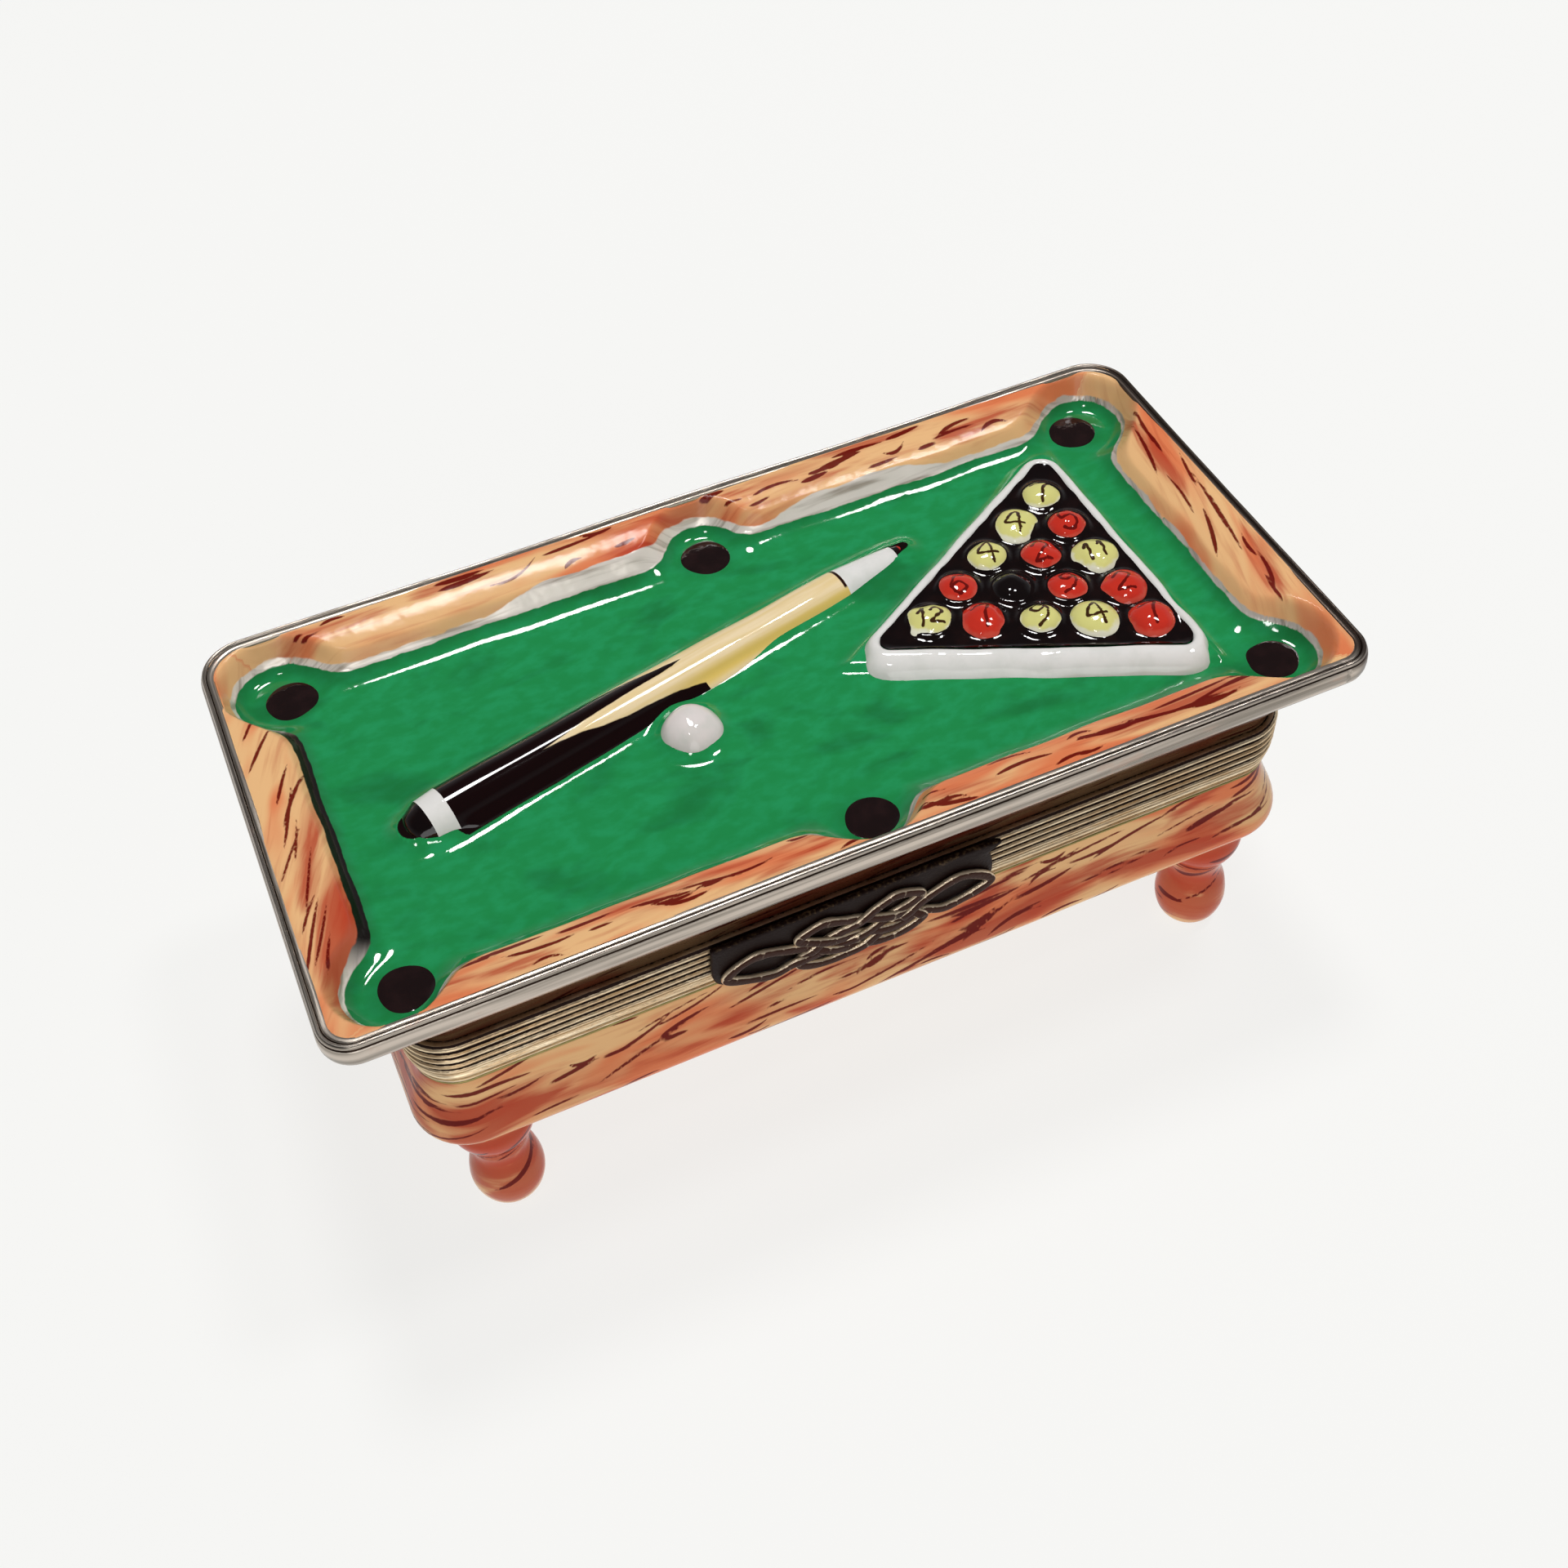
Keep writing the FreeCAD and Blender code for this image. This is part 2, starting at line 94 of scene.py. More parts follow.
def grid_faces(rows, columns, closed=False):
    """Quads over a grid of points in row order; closed joins the last column to the first."""
    i, j = np.meshgrid(np.arange(rows - 1), np.arange(columns if closed else columns - 1), indexing="ij")
    k = (j + 1) % columns
    quads = [i * columns + j, i * columns + k, (i + 1) * columns + k, (i + 1) * columns + j]
    return np.stack(quads, -1).reshape(-1, 4)


def make_piece(name, points, faces, materials, body, replaced=(), attributes=None,
               face_material=None, normals=None):
    """One named mesh that rides on a CAD body. Attributes are lists of one number or one vector a point."""
    mesh = bpy.data.meshes.new(name)
    mesh.from_pydata((np.asarray(points) * MM).tolist(), [], [list(f) for f in faces])
    for key, values in (attributes or {}).items():
        values = np.asarray(values, np.float32)
        kind, field = ("FLOAT", "value") if values.ndim == 1 else ("FLOAT_VECTOR", "vector")
        mesh.attributes.new(key, kind, "POINT").data.foreach_set(field, values.ravel())
    for material in materials if isinstance(materials, (list, tuple)) else [materials]:
        mesh.materials.append(material)
    if face_material is not None:
        mesh.polygons.foreach_set("material_index", np.asarray(face_material, np.int32))
    mesh.polygons.foreach_set("use_smooth", np.ones(len(mesh.polygons), bool))
    if normals is not None:
        mesh.normals_split_custom_set_from_vertices(normals.tolist())
    piece = bpy.data.objects.new(name, mesh)
    bpy.context.scene.collection.objects.link(piece)
    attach(piece, body)
    if replaced:
        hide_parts(*replaced)


def capped(rings, bottom=True, top=True):
    """Points and faces of a skin through closed rings, with a fan closing each end."""
    count, around = len(rings), len(rings[0])
    points = np.concatenate(rings)
    faces = [tuple(f) for f in grid_faces(count, around, True)]
    if bottom:
        points = np.vstack([points, rings[0].mean(0)])
        faces += [(len(points) - 1, (j + 1) % around, j) for j in range(around)]
    if top:
        points = np.vstack([points, rings[-1].mean(0)])
        last = (count - 1) * around
        faces += [(len(points) - 1, last + j, last + (j + 1) % around) for j in range(around)]
    return points, faces


def smooth_path(knots, count):
    """Points along a Catmull-Rom curve through the knots, evenly spaced in its parameter."""
    k = np.asarray(knots, float)
    k = np.vstack([2 * k[0] - k[1], k, 2 * k[-1] - k[-2]])
    t = np.linspace(0, len(k) - 3, count)
    i = np.minimum(t.astype(int), len(k) - 4)
    u = (t - i)[:, None]
    a, b, c, d = k[i], k[i + 1], k[i + 2], k[i + 3]
    return 0.5 * (2 * b + (c - a) * u + (2 * a - 5 * b + 4 * c - d) * u ** 2
                  + (3 * b - a - 3 * c + d) * u ** 3)


def rounded_ring(half_x, half_y, radii, spacing=0.7, corner_steps=12):
    """Closed outline of a rectangle with its own radius at each corner: front right, back right,
    back left, front left. Its number of points doesn't depend on its size."""
    steps_x, steps_y = int(2 * HALF_X / spacing), int(2 * HALF_Y / spacing)
    points = []
    corners = ((1, -1, -90), (1, 1, 0), (-1, 1, 90), (-1, -1, 180))
    for index, (sx, sy, start) in enumerate(corners):
        r = radii[index]
        angles = np.radians(start + np.linspace(0, 90, corner_steps + 1))
        arc = np.stack([sx * (half_x - r) + r * np.cos(angles), sy * (half_y - r) + r * np.sin(angles)], -1)
        nx, ny, _ = corners[(index + 1) % 4]
        r_next = radii[(index + 1) % 4]
        next_angle = math.radians(start + 90)
        follow = np.array([nx * (half_x - r_next) + r_next * math.cos(next_angle),
                           ny * (half_y - r_next) + r_next * math.sin(next_angle)])
        steps = steps_y if index % 2 == 0 else steps_x
        share = np.linspace(0, 1, steps + 1)[1:-1, None]
        points += [arc, arc[-1] * (1 - share) + follow * share]
    return np.concatenate(points)


def arc_length(ring):
    """Distance along a closed ring from its first point."""
    steps = np.linalg.norm(np.roll(ring, -1, 0) - ring, axis=1)
    return np.concatenate([[0], np.cumsum(steps)[:-1]])


# ---- node helpers ----------------------------------------------------------
def srgb(red, green, blue):
    """Linear colour from 0-255 screen values."""
    shares = [c / 255 for c in (red, green, blue)]
    return (*[c / 12.92 if c <= 0.04 else ((c + 0.055) / 1.055) ** 2.4 for c in shares], 1.0)


class Paint:
    """A material under construction: each method adds one node and returns its output."""

    def __init__(self, name, **shader):
        self.material = bpy.data.materials.new(name)
        self.material.use_nodes = True
        self.tree = self.material.node_tree
        self.shader = self.tree.nodes["Principled BSDF"]
        for key, value in shader.items():
            self.set(key.replace("_", " "), value)
        place = self.add("ShaderNodeTexCoord", {}, "Object")
        self.place = self.add("ShaderNodeVectorMath", {0: place, "Scale": 1 / MM}, "Vector",
                              operation="SCALE")

    def link(self, socket, value):
        if isinstance(value, bpy.types.NodeSocket):
            self.tree.links.new(value, socket)
        else:
            socket.default_value = value

    def set(self, name, value):
        self.link(self.shader.inputs[name], value)

    def add(self, kind, inputs, output, **settings):
        node = self.tree.nodes.new(kind)
        for key, value in settings.items():
            setattr(node, key, value)
        for key, value in inputs.items():
            self.link(node.inputs[key], value)
        return node.outputs[output]

    def attribute(self, name, output="Fac"):
        return self.add("ShaderNodeAttribute", {}, output, attribute_name=name)

    def math(self, operation, a, b=0.0):
        return self.add("ShaderNodeMath", {0: a, 1: b}, 0, operation=operation)

    def plus(self, a, b):
        return self.math("ADD", a, b)

    def minus(self, a, b):
        return self.math("SUBTRACT", a, b)

    def times(self, a, b):
        return self.math("MULTIPLY", a, b)

    def centred(self, noise, amount):
        """Noise moved to lie about 0, then scaled."""
        return self.times(self.minus(noise, 0.5), amount)

    def stretch(self, vector, scale):
        return self.add("ShaderNodeMapping", {"Vector": vector, "Scale": scale}, 0)

    def noise(self, vector, scale, detail=2.0, distortion=0.0):
        inputs = {"Vector": vector, "Scale": scale, "Detail": detail, "Distortion": distortion}
        return self.add("ShaderNodeTexNoise", inputs, "Fac")

    def step(self, value, low, high):
        """0 below low, 1 above high, smooth between."""
        inputs = {"Value": value, "From Min": low, "From Max": high}
        return self.add("ShaderNodeMapRange", inputs, 0, interpolation_type="SMOOTHSTEP")

    def mix(self, share, a, b):
        node = self.tree.nodes.new("ShaderNodeMix")
        node.data_type = "RGBA"
        for key, value in ((0, share), (6, a), (7, b)):
            self.link(node.inputs[key], value)
        return node.outputs[2]

    def blend(self, share, a, b):
        """Mix of two numbers."""
        return self.add("ShaderNodeMix", {0: share, 2: a, 3: b}, 0, data_type="FLOAT")

    def warp(self, vector, scale, amount):
        """vector moved about by noise."""
        shift = self.add("ShaderNodeTexNoise", {"Vector": vector, "Scale": scale, "Detail": 1.0}, "Color")
        centred = self.add("ShaderNodeVectorMath", {0: shift, 1: (0.5, 0.5, 0.5)}, 0, operation="SUBTRACT")
        scaled = self.add("ShaderNodeVectorMath", {0: centred, 1: amount}, 0, operation="MULTIPLY")
        return self.add("ShaderNodeVectorMath", {0: vector, 1: scaled}, 0, operation="ADD")

    def bump(self, height, distance, strength=1.0):
        self.set("Normal", self.add("ShaderNodeBump", {
            "Height": height, "Distance": distance * MM, "Strength": strength}, 0))


# ---- materials -------------------------------------------------------------
GLAZE = dict(Roughness=0.06, IOR=1.48)
SATIN_GLAZE = dict(Roughness=0.12, IOR=1.3)
CREAM, ORANGE = srgb(232, 184, 130), srgb(222, 126, 82)
WASH, STROKE = srgb(176, 44, 26), srgb(104, 8, 4)
GREEN, GREEN_LIGHT, GREEN_DEEP = srgb(30, 138, 74), srgb(44, 168, 112), srgb(20, 92, 44)
# The platinum strip's near-black colour is painted dark reflection.
PLATINUM, PLATINUM_DARK = srgb(222, 212, 198), srgb(172, 160, 146)
PLATINUM_BRIGHT, DARK_REFLECTION = srgb(246, 236, 226), srgb(24, 18, 16)


def platinum_line(paint, colour, roughness):
    """Adds the hand-brushed platinum strip along the cushions, where the trim attribute is below 0. Its pale
    colour with little metal stands partly for a painted highlight, and its darkening towards near black is
    painted dark reflection.
    """
    ragged = paint.centred(paint.noise(paint.place, 0.7, 2.0), 0.26)
    mask = paint.step(paint.plus(paint.attribute("trim"), ragged), 0.05, -0.05)
    streaks = paint.noise(paint.stretch(paint.attribute("grain", "Vector"), (0.1, 0.1, 2.0)), 1.0, 3.0)
    tone = paint.mix(paint.step(streaks, 0.3, 0.55), PLATINUM_DARK, PLATINUM_BRIGHT)
    # Painted dark reflection: the strip is darkened towards near black along some cushions.
    tone = paint.mix(paint.attribute("dark_reflection"), tone, DARK_REFLECTION)
    # Little metal, so the strip's pale colour stays bright under any light: partly painted highlight.
    paint.set("Metallic", paint.times(mask, 0.3))
    paint.set("Base Color", paint.mix(mask, colour, tone))
    paint.set("Roughness", paint.blend(mask, roughness, 0.26))


def wood_colour(paint):
    """Hand-painted wood: cream ground, orange drifts, then red washes and dark strokes."""
    grain = paint.warp(paint.attribute("grain", "Vector"), 0.09, (0.0, 0.0, 1.6))
    broad = paint.noise(paint.stretch(grain, (0.07, 0.07, 0.3)), 1.0, 2.0, 0.4)
    colour = paint.mix(paint.step(broad, 0.42, 0.64), CREAM, ORANGE)
    streak = paint.noise(paint.stretch(grain, (0.12, 0.12, 1.5)), 1.0, 3.0, 0.3)
    colour = paint.mix(paint.times(paint.step(streak, 0.5, 0.75), 0.35), colour, WASH)
    ragged = paint.centred(streak, 3.0)
    wash = paint.step(paint.plus(paint.attribute("wash"), ragged), 0.5, -0.9)
    colour = paint.mix(paint.times(wash, 0.8), colour, WASH)
    rough = paint.centred(paint.noise(paint.place, 2.0, 2.0), 0.08)
    ink = paint.step(paint.plus(paint.attribute("ink"), rough), 0.05, -0.05)
    return paint.mix(paint.times(ink, 0.97), colour, STROKE)


def painted_wood(name, shade):
    """Painted wood mixed towards dark brown by a share from 0 for none to 1; on the lid's neck this darkening
    is partly its own dark red-brown paint and partly painted shade under the rim.
    """
    paint = Paint(name, Roughness=0.14, IOR=1.22)
    paint.set("Base Color", paint.mix(shade, wood_colour(paint), srgb(32, 9, 6)))
    paint.bump(paint.noise(paint.place, 0.55, 2.0), 0.05)
    return paint.material


def rail_wood():
    paint = Paint("rail_wood", Roughness=0.16, IOR=1.27)
    platinum_line(paint, wood_colour(paint), 0.16)
    paint.bump(paint.noise(paint.place, 0.5, 2.0), 0.06)
    return paint.material


def green_glaze():
    paint = Paint("green_glaze", **GLAZE)
    streaks = paint.warp(paint.place, 0.2, (1.6, 1.6, 0.0))
    mottle = paint.noise(paint.stretch(streaks, (0.5, 0.8, 0.6)), 1.0, 4.0)
    colour = paint.mix(paint.times(paint.step(mottle, 0.36, 0.7), 0.32), GREEN, GREEN_LIGHT)
    depth = paint.noise(paint.stretch(paint.place, (0.11, 0.2, 0.2)), 1.0, 3.0, 0.5)
    colour = paint.mix(paint.times(paint.step(depth, 0.5, 0.72), 0.5), colour, GREEN_DEEP)
    # Deeper green near the cushion walls and in the pockets: partly glaze pooled thicker there, partly
    # painted shade.
    wall = paint.step(paint.attribute("edge"), -1.6, 0.2)
    colour = paint.mix(paint.times(wall, 0.55), colour, GREEN_DEEP)
    pocket = paint.attribute("pocket")
    colour = paint.mix(paint.times(pocket, 0.45), colour, GREEN_DEEP)
    skirt = paint.step(paint.attribute("skirt"), 0.05, -0.05)
    colour = paint.mix(skirt, colour, srgb(18, 4, 4))
    platinum_line(paint, colour, 0.06)
    paint.bump(paint.noise(paint.place, 0.5, 2.0), 0.03)
    return paint.material


def glazed(name, colour, second=None, scale=0.6, bump=0.03):
    """Plain glazed enamel whose colour drifts a little towards a second one."""
    paint = Paint(name, **GLAZE)
    drift = paint.step(paint.noise(paint.place, scale, 3.0), 0.4, 0.7)
    paint.set("Base Color", paint.mix(drift, colour, second or colour))
    paint.bump(paint.noise(paint.place, 0.8, 2.0), bump)
    return paint.material


def brass_ribs():
    paint = Paint("brass_ribs", Metallic=0.75)
    groove = paint.attribute("groove")
    chips = paint.centred(paint.noise(paint.place, 2.4, 3.0), 0.4)
    # Dark brown in the grooves, with edges ragged by noise.
    groove_darkening = paint.step(paint.plus(groove, chips), 0.3, 0.5)
    tone = paint.noise(paint.stretch(paint.place, (0.3, 0.3, 4.0)), 1.0, 3.0)
    metal = paint.mix(paint.step(tone, 0.35, 0.7), srgb(214, 184, 144), srgb(240, 220, 186))
    metal = paint.mix(paint.attribute("olive"), metal, srgb(150, 138, 84))
    paint.set("Base Color", paint.mix(groove_darkening, metal, srgb(36, 16, 10)))
    paint.set("Roughness", paint.blend(groove_darkening, 0.3, 0.6))
    paint.bump(paint.noise(paint.stretch(paint.place, (0.8, 0.8, 3.0)), 2.0, 3.0), 0.05)
    return paint.material


def plain_brass():
    paint = Paint("plain_brass", Metallic=1.0)
    wear = paint.step(paint.noise(paint.place, 1.2, 4.0), 0.4, 0.65)
    paint.set("Base Color", paint.mix(wear, srgb(184, 154, 104), srgb(222, 198, 146)))
    paint.set("Roughness", paint.blend(wear, 0.45, 0.25))
    paint.bump(paint.noise(paint.stretch(paint.place, (0.5, 3.0, 3.0)), 2.0, 3.0), 0.04)
    return paint.material


def platinum_band():
    """Worn platinum with fine scratches along the moulding; its grooves are darkened as painted shade, and
    its right end as painted dark reflection.
    """
    paint = Paint("platinum_band", Metallic=1.0)
    along = paint.attribute("grain", "Vector")
    lines = paint.noise(paint.stretch(along, (0.04, 0.04, 3.0)), 1.0, 3.0, 0.3)
    colour = paint.mix(paint.step(lines, 0.3, 0.7), srgb(138, 130, 120), srgb(204, 192, 180))
    worn = paint.step(paint.noise(paint.stretch(along, (0.3, 0.3, 1.2)), 1.0, 4.0), 0.6, 0.7)
    colour = paint.mix(paint.times(worn, 0.4), colour, srgb(186, 158, 142))
    chips = paint.centred(paint.noise(paint.place, 1.6, 3.0), 0.5)
    # Painted shade: the grooves, broken by noise, turn near-black brown.
    groove = paint.step(paint.plus(paint.attribute("groove"), chips), 0.4, 0.62)
    colour = paint.mix(groove, colour, srgb(44, 34, 28))
    # Painted dark reflection: darker towards the band's right end.
    paint.set("Base Color", paint.mix(paint.attribute("dark_reflection"), colour, srgb(52, 34, 26)))
    paint.set("Roughness", paint.blend(lines, 0.22, 0.38))
    paint.bump(paint.noise(paint.stretch(along, (0.1, 0.1, 4.0)), 2.0, 3.0), 0.02)
    return paint.material


def clasp_metal(name, metallic, dark, bright):
    """Oxidised brass, lighter where the ridge attribute is high: along the rope's side edges and strand
    lines, and as a painted highlight along the backing plate's top edge.
    """
    paint = Paint(name, Metallic=metallic, IOR=1.25)
    speckle = paint.centred(paint.noise(paint.place, 3.0, 3.0), 0.6)
    ridge = paint.plus(paint.attribute("ridge"), speckle)
    bright_share = paint.step(ridge, 0.45, 0.8)
    paint.set("Base Color", paint.mix(bright_share, dark, bright))
    paint.set("Roughness", paint.blend(bright_share, 0.5, 0.3))
    paint.bump(paint.noise(paint.place, 3.5, 3.0), 0.05)
    return paint.material


# ---- the lid's top surface -------------------------------------------------
NOSE = (41.2, 17.9)
CORNER_POCKET, MIDDLE_POCKET = (40.9, 17.8, 3.8), (0.4, 18.0, 3.6)
INNER_X, INNER_Y, INNER_CORNER = HALF_X - 1.3, HALF_Y - 1.3, 2.0
CUE_START, CUE_TURN, CUE_SINK = np.array([-35.5, -2.7]), math.radians(13.4), 0.3
CUE_ALONG = np.array([math.cos(CUE_TURN), math.sin(CUE_TURN)])
CUE_ACROSS = np.array([-math.sin(CUE_TURN), math.cos(CUE_TURN)])
CUE_STATIONS = (0.0, 0.5, 2.1, 4.1, 24.0, 46.9, 53.3, 55.2)
CUE_RADII = (1.2, 1.75, 2.55, 2.7, 2.45, 2.0, 1.35, 0.9)
RACK_CORNERS = np.array([(8.9, -1.6), (35.0, 14.4), (35.4, -14.0)])
RACK_ROUNDING, RACK_FOOT, RACK_FRONT_SPREAD = 0.9, 1.65, 0.95
RACK_FRONT = np.array([-0.42, -0.91])
RACK_TOP = box_mm("rack_frame")[1][2]
BED = box_mm("rack_bed")[1][2]
CUE_BALL = centre_mm("cue_ball")
CUE_BALL_FOOT, CUE_BALL_HEIGHT = 2.95, 2.24
POCKET_PATCH_RADIUS = 2.4
FELT_EDGE = 0.08
BALL_FOOT, BALL_HEIGHT = 2.15, box_mm("ball_01")[1][2] - BED
BALLS = ["ball_%02d" % n for n in range(1, 16)]


def rectangle_distance(x, y, half_x, half_y, corner):
    qx, qy = np.abs(x) - half_x + corner, np.abs(y) - half_y + corner
    return np.hypot(np.maximum(qx, 0), np.maximum(qy, 0)) + np.minimum(np.maximum(qx, qy), 0) - corner


def pocket_distances(x, y):
    """Distances outside the corner and the middle recesses; the back corners are the larger ones."""
    larger = 0.2 * (y > 0)
    corner = np.hypot(np.abs(x) - CORNER_POCKET[0] - 2 * larger, np.abs(y) - CORNER_POCKET[1] + larger)
    corner = corner - CORNER_POCKET[2] - larger
    middle = np.hypot(x - MIDDLE_POCKET[0], np.abs(y) - MIDDLE_POCKET[1]) - MIDDLE_POCKET[2]
    return corner, middle


def recess_distance(x, y):
    """Distance outside the playing recess: negative over the felt and the pockets."""
    corner, middle = pocket_distances(x, y)
    drift = 0.12 * wobble(np.stack([x, y], -1), 9.0, 3)
    return smooth_min(smooth_min(rectangle_distance(x, y, *NOSE, 0.5), corner, 3.5), middle, 3.0) + drift


def cue_distance(x, y):
    place = np.stack([x, y], -1) - CUE_START
    t, n = place @ CUE_ALONG, place @ CUE_ACROSS
    held = np.clip(t, 1.0, CUE_STATIONS[-1] - 0.6)
    radius = np.interp(held, CUE_STATIONS, CUE_RADII)
    return np.hypot(n, t - held) - np.sqrt(np.maximum(radius ** 2 - CUE_SINK ** 2, 0.01))


def triangle_distance(x, y, front_spread=0.0):
    """Distance outside the rack's inner edge, rounded at its corners; its front side can be moved out."""
    sides = []
    for i in range(3):
        a, b = RACK_CORNERS[i], RACK_CORNERS[(i + 1) % 3]
        along = (b - a) / np.linalg.norm(b - a)
        sides.append((x - a[0]) * -along[1] + (y - a[1]) * along[0])
    sides[2] = sides[2] - front_spread
    return -smooth_min(smooth_min(-sides[0], -sides[1], 2.0), -sides[2], 2.0)


def meniscus(distance, reach, height):
    return height * np.clip(1 - distance / reach, 0, 1.3) ** 2


def lid_height(x, y):
    """Height of the lid's glazed top: felt, cushions, pocket walls and rails in one skin."""
    s = recess_distance(x, y)
    corner, middle = pocket_distances(x, y)
    near = 1 - smooth_step(np.minimum(corner, middle), -0.9, 1.4)
    width = 2.4 - 0.9 * near
    out = np.maximum(s, 0)
    wall = 0.85 * np.clip((s + width) / width, 0, 1) ** 2 + (1.1 + 1.1 * near) * out + 0.9 * out ** 2
    inward = np.clip(-rectangle_distance(x, y, INNER_X, INNER_Y, INNER_CORNER), 0, 6)
    rail = RIM_TOP - 0.15 - 1.4 * (inward / 4.6) ** 1.8
    beside_band = RIM_TOP - 0.2 - 2.5 * inward
    z = -smooth_min(-smooth_min(rail, FELT + wall, 0.8), -beside_band, 0.3)
    z += 0.035 * wobble(np.stack([x, y], -1), 13.0, 5)
    z += meniscus(cue_distance(x, y), 1.7, 0.5)
    z += meniscus(np.hypot(x - CUE_BALL[0], y - CUE_BALL[1]) - CUE_BALL_FOOT, 1.3, 0.38)
    ahead = (x - RACK_CORNERS[0, 0]) * RACK_FRONT[0] + (y - RACK_CORNERS[0, 1]) * RACK_FRONT[1]
    swell = 0.3 * (1 - 0.85 * smooth_step(ahead, 0.5, 2.0))
    return z + swell * meniscus(triangle_distance(x, y, RACK_FRONT_SPREAD) - RACK_FOOT, 1.2, 1.0)


def lines_between(low, high, fine_zones, fine, coarse):
    """Grid lines from low to high, closer together inside the fine zones."""
    values = [low]
    while values[-1] < high:
        inside = any(a <= values[-1] <= b for a, b in fine_zones)
        values.append(values[-1] + (fine if inside else coarse))
    return np.array(values)


def slope_normals(height, x, y):
    step = 0.02
    dx = (height(x + step, y) - height(x - step, y)) / (2 * step)
    dy = (height(x, y + step) - height(x, y - step)) / (2 * step)
    normals = np.stack([-dx, -dy, np.ones_like(dx)], -1)
    return normals / np.linalg.norm(normals, axis=-1, keepdims=True)


def rail_grain(x, y):
    """Grain along each rail; on the short rails it leans, as the strokes are brushed slantwise there."""
    short = (np.abs(x) / HALF_X > np.abs(y) / HALF_Y).astype(float)
    lean = np.radians(np.where(x < 0, 68, 80))
    u = (1 - short) * x + short * (y * np.sin(lean) + x * np.cos(lean) + 60)
    v = (1 - short) * y + short * (x * np.sin(lean) - y * np.cos(lean))
    return np.stack([u, 90 * short * np.sign(x) + 50 * (1 - short) * np.sign(y), v], -1)


# ---- brush strokes ---------------------------------------------------------
UNROLLED = 4 * (MOUNT_X + MOUNT_Y) - 8 * MOUNT_CORNER + 2 * math.pi * MOUNT_CORNER
FOOT_AROUND = 20.0
# A stroke is x, y, angle in degrees, length, half width and bend, on the flat or on an unrolled side.


def brush_marks(flat, marks, around=1000):
    """How far each flat point is from the nearest brush stroke: below 0 inside one. The flat side closes on
    itself after the given distance around."""
    nearest = np.full(len(flat), 3.0)
    for x, y, angle, length, half_width, bend in marks:
        turn = math.radians(angle)
        dx, dy = (flat[:, 0] - x + around / 2) % around - around / 2, flat[:, 1] - y
        along = (dx * math.cos(turn) + dy * math.sin(turn)) / (length / 2)
        across = dy * math.cos(turn) - dx * math.sin(turn) - bend * (along ** 2 - 0.4)
        along = np.clip(along, -2, 2)
        swell = (1 - np.abs(along) ** 3) * (0.8 - 0.2 * along)
        nearest = np.minimum(nearest, np.abs(across) - half_width * swell)
    return nearest


def scattered(seed, count, low, high, angle, spread, length, half_width, bend=0.3):
    """Random strokes whose middles lie between two corners."""
    rng = np.random.default_rng(seed)
    marks = []
    for _ in range(count):
        x, y = rng.uniform(low, high)
        marks.append((x, y, angle + spread * rng.normal(), rng.uniform(*length), rng.uniform(*half_width),
                      bend * rng.normal()))
    return marks


def closed_grain(flat, around):
    """Grain coordinates of an unrolled side, bent round into a circle so that it closes without a seam."""
    turn = flat[:, 0] * 2 * math.pi / around
    radius = around / (2 * math.pi)
    return np.column_stack([radius * np.cos(turn), radius * np.sin(turn), flat[:, 1]])


def rail_marks(flat):
    """Ink and wash fields of the four rails, seen from above."""
    ink = scattered(212, 12, (-45.4, -14.0), (-43.0, 14.0), 69, 4, (4, 9), (0.12, 0.2), 0.1)
    ink += scattered(233, 11, (43.2, -13.0), (45.5, 14.0), 80, 4, (3, 10), (0.14, 0.24), 0.2)
    ink += scattered(201, 30, (-38, -22.2), (22, -19.2), -5, 4, (2, 7), (0.17, 0.3))
    ink += scattered(202, 11, (22, -22.2), (38, -19.4), -3, 5, (4, 10), (0.2, 0.32))
    ink += scattered(203, 28, (-39, 19.6), (39, 22.4), 6, 6, (2, 6), (0.18, 0.36))
    wash = [(-43.2, -12.5, 80, 16, 2.4, 0), (-43.4, -3, 75, 14, 1.1, 0), (44.2, 9.5, 85, 14, 1.0, 0),
            (45.0, -9, 80, 10, 1.0, 0), (30, -20.8, 0, 19, 1.3, 0)]
    wash += scattered(204, 8, (-38, -22), (20, -19.5), -4, 4, (6, 12), (0.3, 0.7))
    wash += scattered(205, 12, (-39, 19.5), (39, 22.3), 4, 5, (6, 13), (0.4, 0.9))
    edge = recess_distance(flat[:, 0], flat[:, 1])
    corner, middle = pocket_distances(flat[:, 0], flat[:, 1])
    clear = np.where(np.minimum(corner, middle) < 1.2, 0.9 - edge, -9)
    return {"ink": np.maximum(brush_marks(flat, ink), clear), "wash": brush_marks(flat, wash)}


def body_marks(flat, low):
    """Ink and wash fields of a painted side, unrolled from the middle of its back."""
    front = UNROLLED / 2
    wash = scattered(219, 7, (front - 38, low + 2.5), (front + 38, low + 7), 3, 7, (10, 19), (1.2, 1.9), 0.1)
    wash += scattered(211, 15, (2, low), (front - 42, low + 8), 6, 10, (8, 16), (0.8, 1.8))
    wash += scattered(214, 15, (front + 42, low), (UNROLLED - 2, low + 8), 6, 10, (8, 16), (0.8, 1.8))
    wash += scattered(212, 34, (front - 40, low), (front + 36, low + 8), 6, 8, (4, 12), (0.3, 0.9))
    ink = scattered(213, 300, (0, low), (UNROLLED, low + 8.5), 7, 5, (2, 10), (0.11, 0.25))
    return {"grain": closed_grain(flat, UNROLLED), "ink": brush_marks(flat, ink, UNROLLED),
            "wash": brush_marks(flat, wash, UNROLLED)}


